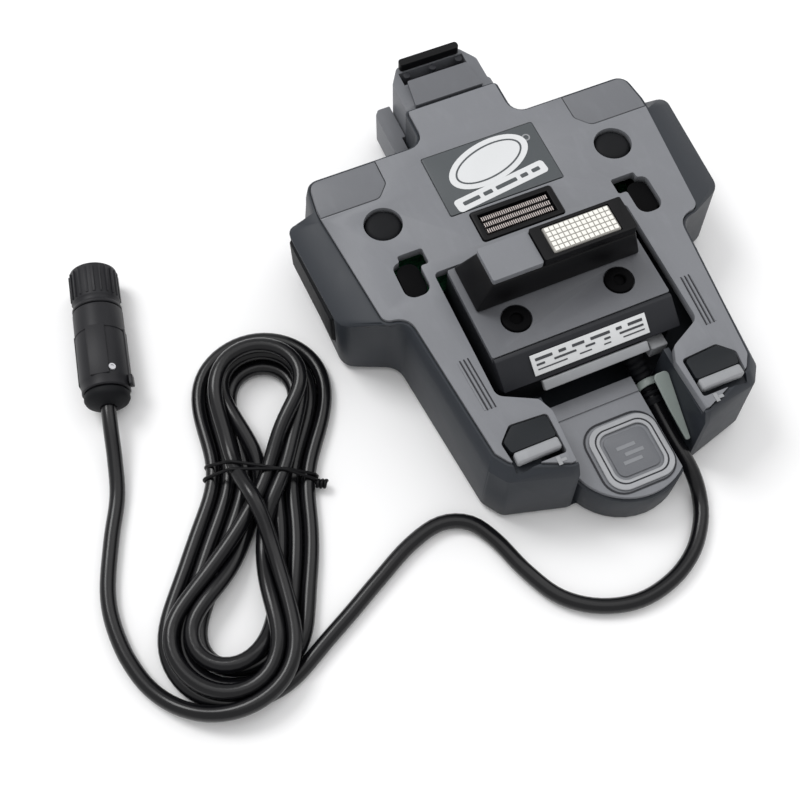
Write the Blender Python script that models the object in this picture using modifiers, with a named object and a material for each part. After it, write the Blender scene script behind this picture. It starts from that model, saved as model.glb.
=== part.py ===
"""Vehicle docking cradle with a released-by-hand latch, a charging lead in a tied hank and a round plug.

The cradle lies flat: +Z is up out of its cover, +Y runs towards the latch and +X is its right side.
The origin is on the ground, in the middle of the cradle without its lead. Lengths are in millimetres
in the tables below and are turned into metres by MM.
"""

import math

import bmesh
import bpy
from mathutils import Matrix, Vector

MM = 0.001
GAP = 0.3                    # clearance kept between two touching pieces
ARC_STEPS = 5                # straight pieces in each rounded corner

# Heights of the cradle's levels
FOOT_Z = 1.2                 # underside of the shell, above the feet's soles
FLOOR_Z = 3.8                # inside floor of the shell
LEDGE_Z = 33.7               # ledge that carries the cover
RIM_Z = 36.8                 # top of the shell's rim
COVER_Z = 38.0               # top of the cover
TONGUE_Z = 20.0              # top of the low front tongue
SHELF_Z = 40.0               # top of the connector module
BLOCK_Z = 60.0               # top of the docking block

# Plan of the right half, from the latch end down to the front: (x, y, corner radius)
COVER_HALF = [(19.4, 77.8, 0.8), (19.4, 60.0, 7.0), (69.8, 60.0, 4.0), (71.3, 47.5, 1.5),
              (71.2, 42.0, 4.0),
              (66.2, -9.3, 3.5), (57.0, -10.3, 7.0), (50.8, -73.0, 3.0), (47.5, -78.0, 3.0),
              (27.5, -86.5, 1.5)]
FLOOR_HALF = [(20.5, 79.0, 1.5), (20.5, 61.5, 7.5), (72.5, 61.5, 6.0), (77.0, 54.5, 3.0),
              (82.5, 46.5, 5.0),
              (81.8, -3.0, 7.0), (62.0, -12.0, 8.5), (55.5, -77.0, 5.0), (50.5, -84.5, 4.0),
              (27.0, -91.0, 2.0)]
WAIST_HALF = [(20.5, 79.0, 1.5), (20.5, 61.3, 7.5), (71.6, 61.3, 4.5), (73.6, 48.5, 1.5),
              (84.4, 47.5, 4.0),
              (81.6, -1.5, 7.0), (60.2, -11.0, 8.0), (54.5, -76.5, 4.0), (50.0, -83.0, 4.0),
              (27.0, -90.0, 2.0)]
WAIST_Z = 32.0               # height of the shoulders' widest line

TOWER_INNER_X = 25.2         # inner faces of the two front towers
TONGUE_CENTRE_Y = -79.0
TONGUE_R = 25.0
CHANNEL_X = (15.0, TOWER_INNER_X)
CHANNEL_Z = 4.5              # floor of the lead's channel

PLUG_LINE_Y = 31.0           # line through the two round bumpers
BUMPER_X = 50.0
BUMPER_R = 7.3

RECESS_HALF = [(41.0, 3.0, 2.0), (41.0, -53.0, 4.0), (27.5, -60.0, 3.0), (TOWER_INNER_X - 0.2, -66.0, 3.0),
               (TOWER_INNER_X + 1.0, -95.0, 0.0)]

# Docking block and the pieces on it
BLOCK_BASE = (34.0, -20.5, 1.0)      # half width, front y and back y at the shelf
BLOCK_TOP = (29.0, -21.0, -6.0)      # the same at its top
INSERT_SPLIT_X = -8.6                # where the light insert meets the contact bezel
PAD_X = (-4.0, 23.0)
PAD_Y = (-19.2, -7.8)

# Rubber grips in the shoulders
GRIP_X = 81.9
GRIP_TURN = -2.6                         # turned about the upright, in degrees

# Latch
LATCH_GAP_Y = 79.6                   # where the sliding head starts
LATCH_END_Y = 103.5
ROD_X = 10.0
ROD_Z = 20.0

# Corner claws
CLAW_X = 36.5
CLAW_AXIS = (-72.0, 31.5)            # y and z of the claws' pins

# Lead
CORD_R = 2.9
RELIEF_ROUTE = [(18.0, -47.4, 22.5), (18.6, -52.0, 20.6), (19.5, -58.0, 17.4), (20.1, -64.0, 14.6),
                (20.3, -69.4, 12.9)]
LEAD_ROUTE = [(20.3, -69.8, 12.8), (20.5, -76.0, 11.4), (20.8, -84.0, 10.0), (21.4, -91.0, 9.0),
              (22.0, -99.0, 6.6), (20.8, -107.5, 3.5), (16.5, -116.0, 3.0), (8.0, -125.0, 3.0),
              (-4.0, -131.2, 3.0), (-18.4, -133.3, 3.0), (-32.9, -129.4, 3.0), (-44.5, -120.5, 3.0),
              (-51.7, -106.9, 3.0), (-56.8, -92.0, 3.0), (-63.0, -82.2, 3.0), (-73.5, -78.4, 3.0),
              (-87.0, -81.7, 3.0), (-102.0, -89.2, 3.0), (-117.0, -97.2, 3.0), (-128.0, -103.0, 3.0),
              (-135.2, -106.2, 3.0)]
TAIL_ROUTE = [(-177.8, -108.2, 3.0), (-186.0, -102.0, 3.0), (-192.8, -90.2, 3.0), (-196.0, -74.0, 3.0),
              (-195.0, -57.0, 3.0), (-188.0, -37.5, 3.0), (-180.8, -21.5, 3.2), (-177.2, -8.5, 5.5),
              (-174.6, 3.0, 8.6), (-173.2, 9.6, 9.7)]
CORD_STEP = 6.5                      # spacing of the points along a free stretch of the lead
HANK_ENDS = ((-116.5, 0.5), (-157.5, -87.0))
HANK_R = 26.2
HANK_Z = (1.0, 15.6)
TIE_SHARE = 0.38                     # the tie's place along the hank, from its upper end

# Round plug, along its own axis from its rear end
PLUG_REAR = (-172.6, 12.2, 9.9)
PLUG_DIRECTION = Vector((0.186, 0.9825, 0.0))


def collection(name: str) -> bpy.types.Collection:
    """Make a collection in the scene."""
    made = bpy.data.collections.new(name)
    bpy.context.scene.collection.children.link(made)
    return made


def clear_scene() -> None:
    """Remove every object that the file starts with."""
    for item in list(bpy.data.objects):
        bpy.data.objects.remove(item, do_unlink=True)


clear_scene()
PARTS = collection("docking_cradle")
CUTTERS = collection("cutters")


def material(name: str, colour: tuple, roughness: float, metallic: float = 0.0) -> bpy.types.Material:
    """Make a plain Principled BSDF material."""
    made = bpy.data.materials.new(name)
    made.use_nodes = True
    shader = made.node_tree.nodes["Principled BSDF"]
    shader.inputs["Base Color"].default_value = (*colour, 1.0)
    shader.inputs["Roughness"].default_value = roughness
    shader.inputs["Metallic"].default_value = metallic
    return made


COVER_GRAY = material("cover_gray", (0.27, 0.28, 0.30), 0.5)
SHELL_GRAY = material("shell_gray", (0.09, 0.11, 0.13), 0.55)
BLACK = material("black_plastic", (0.02, 0.02, 0.025), 0.45)
RUBBER = material("rubber", (0.03, 0.03, 0.035), 0.8)
WHITE = material("white_label", (0.85, 0.85, 0.85), 0.4)
PALE = material("pale_plastic", (0.45, 0.47, 0.48), 0.4)
STEEL = material("steel", (0.6, 0.6, 0.62), 0.3, 1.0)
BOARD_GREEN = material("board_green", (0.03, 0.18, 0.08), 0.5)
CORD_BLACK = material("cord_black", (0.025, 0.025, 0.03), 0.4)


# ---------------------------------------------------------------- outlines

def fillet(corners: list) -> list:
    """Round each corner (x, y, radius) of a closed outline with the same number of steps."""
    points = []
    count = len(corners)
    for i, (x, y, radius) in enumerate(corners):
        here = Vector((x, y))
        back = (Vector(corners[i - 1][:2]) - here).normalized()
        ahead = (Vector(corners[(i + 1) % count][:2]) - here).normalized()
        half = back.angle(ahead) / 2
        if radius <= 0 or half > math.pi / 2 - 0.01:
            points.append((x, y))
            continue
        centre = here + (back + ahead).normalized() * (radius / math.sin(half))
        start = here + back * (radius / math.tan(half)) - centre
        turn = start.angle_signed(here + ahead * (radius / math.tan(half)) - centre)
        for step in range(ARC_STEPS + 1):
            swung = start.copy()
            swung.rotate(Matrix.Rotation(-turn * step / ARC_STEPS, 2))
            points.append(tuple(centre + swung))
    return points


def mirrored(half: list) -> list:
    """Close a right half, given from top to bottom, with its mirror image on the left."""
    return [*half, *((-x, y, r) for x, y, r in reversed(half))]


def offset(corners: list, distance: float) -> list:
    """Move a closed clockwise outline outwards by distance, radii included."""
    moved = []
    count = len(corners)
    for i, (x, y, radius) in enumerate(corners):
        here = Vector((x, y))
        before = (here - Vector(corners[i - 1][:2])).normalized()
        after = (Vector(corners[(i + 1) % count][:2]) - here).normalized()
        out_before, out_after = Vector((-before.y, before.x)), Vector((-after.y, after.x))
        mitre = (out_before + out_after) / (1.0 + out_before.dot(out_after))
        convex = before.x * after.y - before.y * after.x < 0
        grown = radius + distance if convex else radius - distance
        moved.append((x + mitre.x * distance, y + mitre.y * distance, max(grown, 0.4) if radius else 0.0))
    return moved


def rectangle(low: tuple, high: tuple, radius: float) -> list:
    """Corners of a rounded rectangle, clockwise."""
    return [(low[0], high[1], radius), (high[0], high[1], radius),
            (high[0], low[1], radius), (low[0], low[1], radius)]


# ---------------------------------------------------------------- pieces

def add_mesh(name: str, mesh: bpy.types.Mesh, finish: bpy.types.Material, home=PARTS) -> bpy.types.Object:
    """Put a mesh in the scene as a named piece."""
    made = bpy.data.objects.new(name, mesh)
    home.objects.link(made)
    if finish:
        mesh.materials.append(finish)
    if home is CUTTERS:
        made.hide_render = True
        made.display_type = "WIRE"
    return made


def from_curve(name: str, curve: bpy.types.Curve, finish, home=PARTS) -> bpy.types.Object:
    """Turn a filled curve into a closed mesh piece."""
    guide = bpy.data.objects.new(name + "_guide", curve)
    home.objects.link(guide)
    evaluated = guide.evaluated_get(bpy.context.evaluated_depsgraph_get())
    mesh = bpy.data.meshes.new_from_object(evaluated)
    bpy.data.objects.remove(guide, do_unlink=True)
    work = bmesh.new()
    work.from_mesh(mesh)
    bmesh.ops.remove_doubles(work, verts=work.verts, dist=1e-6)
    bmesh.ops.recalc_face_normals(work, faces=work.faces)
    work.to_mesh(mesh)
    work.free()
    mesh.materials.clear()
    return add_mesh(name, mesh, finish, home)


def plate(name: str, outlines: list, low: float, high: float, finish, home=PARTS) -> bpy.types.Object:
    """A flat piece from z = low to high. The first outline is its edge and the others are holes."""
    curve = bpy.data.curves.new(name, "CURVE")
    curve.dimensions = "2D"
    curve.fill_mode = "BOTH"
    curve.extrude = (high - low) / 2 * MM
    for outline in outlines:
        spline = curve.splines.new("POLY")
        spline.points.add(len(outline) - 1)
        spline.use_cyclic_u = True
        for point, (x, y) in zip(spline.points, outline):
            point.co = (x * MM, y * MM, 0.0, 1.0)
    made = from_curve(name, curve, finish, home)
    made.location.z = (low + high) / 2 * MM
    return made


def block(name: str, low: tuple, high: tuple, finish, home=PARTS) -> bpy.types.Object:
    """A rectangular block between two corners."""
    mesh = bpy.data.meshes.new(name)
    work = bmesh.new()
    size = [b - a for a, b in zip(low, high)]
    bmesh.ops.create_cube(work, size=1.0, matrix=Matrix.Diagonal((*[s * MM for s in size], 1.0)))
    work.to_mesh(mesh)
    work.free()
    made = add_mesh(name, mesh, finish, home)
    made.location = [(a + b) / 2 * MM for a, b in zip(low, high)]
    return made


def cylinder(name: str, centre: tuple, radius: float, length: float, finish, home=PARTS, axis="Z",
             steps: int = 32) -> bpy.types.Object:
    """A round rod or disc about its centre."""
    mesh = bpy.data.meshes.new(name)
    work = bmesh.new()
    bmesh.ops.create_cone(work, cap_ends=True, segments=steps, radius1=radius * MM, radius2=radius * MM,
                          depth=length * MM)
    work.to_mesh(mesh)
    work.free()
    made = add_mesh(name, mesh, finish, home)
    made.location = [value * MM for value in centre]
    made.rotation_euler = {"X": (0, math.pi / 2, 0), "Y": (math.pi / 2, 0, 0), "Z": (0, 0, 0)}[axis]
    return made


def loft(name: str, rings: list, finish, home=PARTS) -> bpy.types.Object:
    """A closed solid through rings (z, points) that all have the same number of points."""
    mesh = bpy.data.meshes.new(name)
    work = bmesh.new()
    rows = [[work.verts.new((x * MM, y * MM, z * MM)) for x, y in points] for z, points in rings]
    for lower, upper in zip(rows, rows[1:]):
        for i in range(len(lower)):
            work.faces.new((lower[i - 1], lower[i], upper[i], upper[i - 1]))
    work.faces.new(rows[0])
    work.faces.new(rows[-1])
    bmesh.ops.recalc_face_normals(work, faces=work.faces)
    work.to_mesh(mesh)
    work.free()
    return add_mesh(name, mesh, finish, home)


def turned(name: str, profile: list, place: tuple, direction: Vector, finish,
           steps: int = 32) -> bpy.types.Object:
    """A turned piece. Its profile (radius, height) runs from its top down, along direction from place."""
    mesh = bpy.data.meshes.new(name)
    work = bmesh.new()
    line = [work.verts.new((radius * MM, 0.0, height * MM)) for radius, height in profile]
    for first, second in zip(line, line[1:]):
        work.edges.new((first, second))
    work.to_mesh(mesh)
    work.free()
    made = add_mesh(name, mesh, finish)
    screw = made.modifiers.new("turn", "SCREW")
    screw.steps = screw.render_steps = steps
    screw.use_merge_vertices = True
    screw.merge_threshold = 0.00001
    made.location = [value * MM for value in place]
    made.rotation_euler = direction.to_track_quat("Z", "X").to_euler()
    return made


def tube(name: str, points: list, radii: list, finish, sides: int = 2, home=PARTS) -> bpy.types.Object:
    """A round tube along points, with a radius at each of them."""
    curve = bpy.data.curves.new(name, "CURVE")
    curve.dimensions = "3D"
    curve.bevel_depth = MM
    curve.bevel_resolution = sides
    curve.use_fill_caps = True
    spline = curve.splines.new("POLY")
    spline.points.add(len(points) - 1)
    for point, (x, y, z), radius in zip(spline.points, points, radii):
        point.co = (x * MM, y * MM, z * MM, 1.0)
        point.radius = radius
    return from_curve(name, curve, finish, home)


def along(route: list, step: float) -> list:
    """Evenly spaced points on the smooth curve through a route's own points."""
    knots = [Vector(p) for p in route]
    knots = [2 * knots[0] - knots[1], *knots, 2 * knots[-1] - knots[-2]]
    fine = []
    for a, b, c, d in zip(knots, knots[1:], knots[2:], knots[3:]):
        for i in range(12):
            t = i / 12
            fine.append(0.5 * (2 * b + (c - a) * t + (2 * a - 5 * b + 4 * c - d) * t * t
                               + (3 * b - a - 3 * c + d) * t ** 3))
    fine.append(knots[-2])
    lengths = [0.0]
    for first, second in zip(fine, fine[1:]):
        lengths.append(lengths[-1] + (second - first).length)
    count = max(2, round(lengths[-1] / step))
    spaced, place = [], 0
    for i in range(count + 1):
        goal = lengths[-1] * i / count
        while place < len(fine) - 2 and lengths[place + 1] < goal:
            place += 1
        share = (goal - lengths[place]) / (lengths[place + 1] - lengths[place])
        spaced.append(tuple(fine[place].lerp(fine[place + 1], min(share, 1.0))))
    return spaced


def change(piece: bpy.types.Object, tool: bpy.types.Object, operation: str) -> None:
    """Cut, join or intersect a piece with a tool."""
    boolean = piece.modifiers.new(operation.lower(), "BOOLEAN")
    boolean.object = tool
    boolean.operation = operation
    boolean.solver = "EXACT"


def cut(piece: bpy.types.Object, *tools: bpy.types.Object) -> None:
    """Take each tool's solid out of a piece."""
    for tool in tools:
        change(piece, tool, "DIFFERENCE")


def join(piece: bpy.types.Object, *tools: bpy.types.Object) -> None:
    """Weld each tool's solid to a piece."""
    for tool in tools:
        change(piece, tool, "UNION")


def round_edges(piece: bpy.types.Object, width: float, segments: int = 2, angle: float = 40.0) -> None:
    """Round a piece's sharp edges."""
    bevel = piece.modifiers.new("round", "BEVEL")
    bevel.width = width * MM
    bevel.segments = segments
    bevel.limit_method = "ANGLE"
    bevel.angle_limit = math.radians(angle)


# ---------------------------------------------------------------- cradle housing

def make_shell() -> None:
    """The hollow lower shell with its shoulders, front towers, tongue and lead channel."""
    floor, waist = fillet(mirrored(FLOOR_HALF)), fillet(mirrored(WAIST_HALF))
    cover = mirrored(COVER_HALF)
    shell = loft("lower_shell", [(FOOT_Z, fillet(offset(mirrored(FLOOR_HALF), -1.2))), (3.0, floor),
                                 (WAIST_Z, waist), (RIM_Z, fillet(offset(cover, 1.3)))], SHELL_GRAY)
    inside = loft("cut_inside", [(FLOOR_Z, fillet(offset(mirrored(FLOOR_HALF), -2.8))),
                                 (30.0, fillet(offset(cover, -2.4))), (45.0, fillet(offset(cover, -2.4)))],
                  None, CUTTERS)
    rim = plate("cut_rim", [fillet(offset(cover, 0.35))], LEDGE_Z, 45.0, None, CUTTERS)
    front = block("cut_front", (-TOWER_INNER_X, -100.0, 2.5), (TOWER_INNER_X, -84.0, 45.0), None, CUTTERS)
    cut(shell, inside, rim, front)
    for side in (-1, 1):
        inner, outer = sorted((side * TOWER_INNER_X, side * (TOWER_INNER_X + 2.2)))
        wall = block(f"join_tower_{side}", (inner, -88.0, 3.0), (outer, -58.0, LEDGE_Z), None, CUTTERS)
        join(shell, wall)
    half_turn = [(TONGUE_R * math.cos(a), TONGUE_CENTRE_Y + TONGUE_R * math.sin(a))
                 for a in (-math.pi * i / 20 for i in range(21))]
    tongue = plate("join_tongue", [[*half_turn, (-TONGUE_R - 0.5, -62.0), (TONGUE_R + 0.5, -62.0)]],
                   FOOT_Z + 0.3, TONGUE_Z - 2.0 - GAP, None, CUTTERS)
    join(shell, tongue)
    inner_turn = [((TONGUE_R - 2.4) * math.cos(a), TONGUE_CENTRE_Y + (TONGUE_R - 2.4) * math.sin(a))
                  for a in (-math.pi * (0.36 + 0.64 * i / 16) for i in range(17))]
    hollow = plate("cut_tongue", [[*inner_turn, (-TONGUE_R + 2.4, -64.5), (CHANNEL_X[0] - 2.2, -64.5),
                                   (CHANNEL_X[0] - 2.2, -94.0)]], FLOOR_Z, 30.0, None, CUTTERS)
    channel = block("cut_channel", (CHANNEL_X[0], -110.0, CHANNEL_Z), (CHANNEL_X[1], -50.0, 30.0), None,
                    CUTTERS)
    cut(shell, hollow, channel)
    for side in (-1, 1):
        cut(shell, cylinder(f"cut_rod_{side}", (side * ROD_X, 77.0, ROD_Z), 2.2, 12.0, None, CUTTERS, "Y",
                            20))
        cut(shell, grip_block(f"cut_grip_{side}", side, 0.0))
        cut(shell, plate(f"cut_rim_claw_{side}", [fillet([(side * x, y, r) for x, y,
                                                          r in claw_outline(1.0)][::side])],
                         RIM_Z - 3.0, 45.0, None, CUTTERS))
        for row, y in enumerate((46.0, -68.0)):
            x = side * (58.0 if row == 0 else 38.0)
            cut(shell, cylinder(f"cut_foot_{side}_{row}", (x, y, 1.1), 6.3, 2.2, None, CUTTERS, steps=24))
            cylinder(f"foot_{'rear' if row == 0 else 'front'}_{'right' if side > 0 else 'left'}",
                     (x, y, 0.95), 6.0, 1.9, RUBBER, steps=24)


def grip_block(name: str, side: int, shrink: float) -> bpy.types.Object:
    """The block of a shoulder's grip, or of its pocket when shrink is 0."""
    home = CUTTERS if shrink == 0 else PARTS
    made = block(name, (-1.6 + shrink, -20.5 + shrink, 12.0 + shrink),
                 (1.6 + shrink, 20.5 - shrink, 30.0 - shrink),
                 RUBBER if shrink else None, home)
    made.location = (side * (GRIP_X + shrink * 1.6) * MM, 24.0 * MM, 21.0 * MM)
    made.rotation_euler.z = side * math.radians(GRIP_TURN)
    return made


def make_cover() -> None:
    """The light cover plate, with its openings and pockets."""
    outline = fillet(mirrored(COVER_HALF))
    recess = fillet(mirrored(RECESS_HALF))
    cover = plate("top_cover", [outline], LEDGE_Z + GAP, COVER_Z, COVER_GRAY)
    round_edges(cover, 0.8, 2)
    cut(cover, plate("cut_recess", [recess], 30.0, 45.0, None, CUTTERS))
    cut(cover, plate("cut_comb", [fillet(rectangle((-17.8, 7.9), (17.8, 22.7), 1.5))], 30.0, 45.0, None,
                     CUTTERS))
    cut(cover, plate("cut_label", [fillet(rectangle((-24.7, 23.6), (24.7, 53.8), 1.0))], COVER_Z - 0.8,
                     45.0,
                     None, CUTTERS))
    for side in (-1, 1):
        tag = "right" if side > 0 else "left"
        cut(cover, cylinder(f"cut_bumper_{tag}", (side * BUMPER_X, PLUG_LINE_Y, 38.0), BUMPER_R + 0.4,
                            20.0, None,
                            CUTTERS))
        seat = plate(f"cut_slot_{tag}", [fillet([(side * x, y, r) for x, y,
                                                 r in slot_outline(0.0)][::side])],
                     30.0, 45.0, None, CUTTERS)
        corner = plate(f"cut_corner_{tag}", [fillet([(side * x, y, r) for x, y,
                                                     r in corner_outline(0.0)][::side])],
                       COVER_Z - 1.5, 45.0, None, CUTTERS)
        claw = plate(f"cut_claw_{tag}", [fillet([(side * x, y, r) for x, y,
                                                 r in claw_outline(0.9)][::side])],
                     30.0, 45.0, None, CUTTERS)
        cut(cover, seat, corner, claw)


def slot_outline(shrink: float) -> list:
    """The right slot beside a bumper: a rounded seat with a notch at its inner back corner."""
    return [(40.6 + shrink, 15.3 - shrink, 1.0), (51.0 - shrink, 15.3 - shrink, 1.0),
            (51.0 - shrink, 12.4, 1.0),
            (54.6 - shrink, 12.4, 3.0), (54.6 - shrink, -4.2 + shrink, 4.2),
            (44.2 + shrink, -4.2 + shrink, 4.2),
            (44.2 + shrink, 8.0, 1.0), (40.6 + shrink, 8.0 + shrink, 1.0)]


def corner_outline(shrink: float) -> list:
    """The right corner pad of the cover."""
    return [(41.3 + shrink, 64.0, 0.0), (76.0, 64.0, 0.0), (76.0, 42.6 + shrink, 0.0),
            (46.5, 42.6 + shrink, 4.0),
            (41.3 + shrink, 48.5, 3.0)]


def claw_outline(grow: float) -> list:
    """The right claw's plan, with its bar along the front edge."""
    return [(28.2 - grow, -66.9 + grow, 1.5), (41.5 + grow / 2, -66.0 + grow, 2.0),
            (46.6 + grow, -70.6, 2.0),
            (45.4 + grow, -81.4 - grow, 1.0), (28.2 - grow, -81.4 - grow, 1.0)]


def make_cover_pieces() -> None:
    """What sits in the cover: corner pads, bumpers, slot pads, label and the comb connector."""
    clip = offset(mirrored(COVER_HALF), -0.1)
    for side in (-1, 1):
        tag = "right" if side > 0 else "left"
        edge = plate(f"clip_corner_{tag}", [fillet(clip)], 30.0, 45.0, None, CUTTERS)
        pad = plate(f"corner_pad_{tag}", [fillet([(side * x, y, r) for x, y,
                                                  r in corner_outline(0.4)][::side])],
                    COVER_Z - 1.5 + GAP, COVER_Z, COVER_GRAY)
        change(pad, edge, "INTERSECT")
        bumper = cylinder(f"bumper_{tag}", (side * BUMPER_X, PLUG_LINE_Y, 33.9), BUMPER_R, 7.0, RUBBER)
        round_edges(bumper, 0.8, 2)
        seat = [(side * x, y, r) for x, y, r in rectangle((45.0, -3.4), (53.8, 11.6), 3.8)][::side]
        slot_pad = plate(f"slot_pad_{tag}", [fillet(seat)], 26.0, 36.4, RUBBER)
        round_edges(slot_pad, 0.9, 2)
    plate("label_plate", [fillet(rectangle((-24.3, 24.0), (24.3, 53.4), 0.8))], COVER_Z - 0.5,
          COVER_Z + 0.2,
          SHELL_GRAY)
    housing = plate("comb_housing", [fillet(rectangle((-17.4, 8.3), (17.4, 22.3), 1.2))], 31.0,
                    COVER_Z + 0.5, BLACK)
    cut(housing, block("cut_comb_well", (-15.0, 10.4, 33.5), (15.0, 20.2, 45.0), None, CUTTERS))
    contacts = block("comb_contacts", (-14.6, 10.8, 33.8), (14.6, 19.8, 35.6), STEEL)
    for row, y in enumerate((12.4, 15.3, 18.2)):
        join(contacts, block(f"join_comb_{row}", (-14.0, y - 0.7, 35.0), (14.0, y + 0.7, 37.4), None,
                             CUTTERS))


# ---------------------------------------------------------------- connector module and docking block

def make_module() -> None:
    """The connector module in the recess: body, shelf, sloped front, label, strip and screws."""
    body = block("module_body", (-36.4, -47.0, 9.0), (36.4, 1.0, 33.0), SHELL_GRAY)
    join(body, block("join_module_top", (-36.4, -41.0, 32.0), (36.4, 1.0, 37.2), None, CUTTERS))
    slope = loft("join_module_front", [(28.0, [(-36.4, -47.0), (-36.4, -40.0), (36.4, -40.0),
                                               (36.4, -47.0)]),
                                       (33.0, [(-36.4, -51.5), (-36.4, -40.0), (36.4, -40.0),
                                               (36.4, -51.5)]),
                                       (SHELF_Z - 0.2, [(-36.4, -41.6), (-36.4, -40.0), (36.4, -40.0),
                                                        (36.4, -41.6)])], None, CUTTERS)
    join(body, slope)
    start = RELIEF_ROUTE[0]
    cut(body, cylinder("cut_relief_seat", (start[0], start[1] + 1.0, start[2]), 5.4, 6.0, None, CUTTERS,
                       "Y", 24))
    shelf = plate("module_shelf", [fillet(rectangle((-36.4, -39.7), (36.4, 1.0), 0.8))], 37.5, SHELF_Z,
                  COVER_GRAY)
    round_edges(shelf, 0.5, 1)
    for side in (-1, 1):
        tag = "right" if side > 0 else "left"
        seat = cylinder(f"cut_screw_{tag}", (side * 21.3, -28.0, SHELF_Z), 6.0, 3.0, None, CUTTERS)
        cut(shelf, seat)
        screw = cylinder(f"module_screw_{tag}", (side * 21.3, -28.0, SHELF_Z - 0.2), 5.6, 2.0, BLACK)
        cut(screw, cylinder(f"cut_socket_{tag}", (side * 21.3, -28.0, SHELF_Z + 0.6), 2.4, 2.0, None,
                            CUTTERS,
                            steps=6))
    down = math.atan2(SHELF_Z - 0.2 - 33.0, 9.9)
    label = block("module_label", (-23.6, -3.9, -0.3), (23.6, 3.9, 0.3), WHITE)
    label.rotation_euler.x = down
    label.location = (0.0, -46.9 * MM, 36.95 * MM)
    strip = block("module_strip", (-21.6, -1.9, -1.4), (21.6, 1.9, 1.4), PALE)
    strip.rotation_euler.x = down
    strip.location = (0.0, -53.2 * MM, 31.3 * MM)
    block("cable_anchor", (23.6, -54.5, 22.0), (30.6, -47.4, 28.5), PALE)


def make_docking_block() -> None:
    """The raised block with its light insert, contact bezel and contact pad."""
    top = BLOCK_Z - 3.0

    def outline(sizes: tuple) -> list:
        return [(-sizes[0], sizes[1]), (-sizes[0], sizes[2]), (sizes[0], sizes[2]), (sizes[0], sizes[1])]

    body = loft("docking_block", [(SHELF_Z + GAP, outline(BLOCK_BASE)), (top, outline(BLOCK_TOP))], BLACK)
    round_edges(body, 0.8, 2)
    low, high = BLOCK_TOP[1] + 0.3, BLOCK_TOP[2] - 0.2
    left, right = -BLOCK_TOP[0] + 0.2, BLOCK_TOP[0] - 0.2
    insert = plate("docking_insert", [fillet(rectangle((left, low), (INSERT_SPLIT_X - 0.2, high), 0.8))],
                   top + GAP, BLOCK_Z, COVER_GRAY)
    round_edges(insert, 0.5, 1)
    bezel = plate("contact_bezel", [fillet(rectangle((INSERT_SPLIT_X + 0.2, low), (right, high), 0.8))],
                  top + GAP, BLOCK_Z + 1.0, BLACK)
    round_edges(bezel, 0.5, 1)
    cut(bezel, block("cut_pad", (PAD_X[0] - GAP, PAD_Y[0] - GAP, top + 0.9),
                     (PAD_X[1] + GAP, PAD_Y[1] + GAP, 70.0),
                     None, CUTTERS))
    pad = block("contact_pad", (PAD_X[0], PAD_Y[0], top + 1.2), (PAD_X[1], PAD_Y[1], BLOCK_Z + 1.2), WHITE)
    round_edges(pad, 0.4, 1)


# ---------------------------------------------------------------- tongue, badge and lead outlet

def make_tongue() -> None:
    """The low front plate with its badge, and the guide arch over the lead."""
    radius = TONGUE_R - 1.0
    right = CHANNEL_X[0] - 0.5
    start = math.acos(right / radius)
    turn = [(radius * math.cos(a), TONGUE_CENTRE_Y + radius * math.sin(a))
            for a in (-start - (math.pi - start) * i / 24 for i in range(25))]
    top = plate("front_cover", [[*turn, (-radius, -58.0), (right, -58.0)]], TONGUE_Z - 2.0, TONGUE_Z,
                COVER_GRAY)
    round_edges(top, 0.5, 1)
    cut(top, block("cut_step", (-30.0, -65.2, TONGUE_Z - 0.6), (30.0, -64.4, 25.0), None, CUTTERS))
    outer, inner = rectangle((-13.6, -99.0), (13.6, -72.4), 7.0), rectangle((-9.9, -95.3), (9.9, -76.1),
                                                                            4.0)
    plate("badge_ring", [fillet(outer), fillet(inner)], TONGUE_Z + GAP, TONGUE_Z + 1.1, PALE)
    plate("badge_centre", [fillet(rectangle((-8.6, -94.0), (8.6, -77.4), 3.0))], TONGUE_Z + GAP,
          TONGUE_Z + 0.7,
          COVER_GRAY)
    middle = (CHANNEL_X[0] + CHANNEL_X[1]) / 2

    def arch(radius: float) -> list:
        bend = [(middle + radius * math.cos(a), 15.3 + radius * math.sin(a))
                for a in (math.pi * i / 12 for i in range(13))]
        return [*bend, (middle - radius, 0.0), (middle + radius, 0.0)]

    outer, inner = arch(5.0), arch(4.5)
    guide = plate("cable_guide", [[*outer[:13], (middle - 5.0, CHANNEL_Z + GAP),
                                   (middle - 4.5, CHANNEL_Z + GAP),
                                   *inner[12::-1], (middle + 4.5, CHANNEL_Z + GAP),
                                   (middle + 5.0, CHANNEL_Z + GAP)]],
                  -1.5, 1.5, PALE)
    guide.rotation_euler.x = math.pi / 2
    guide.location = (0.0, -62.5 * MM, 0.0)


# ---------------------------------------------------------------- latch and claws

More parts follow.
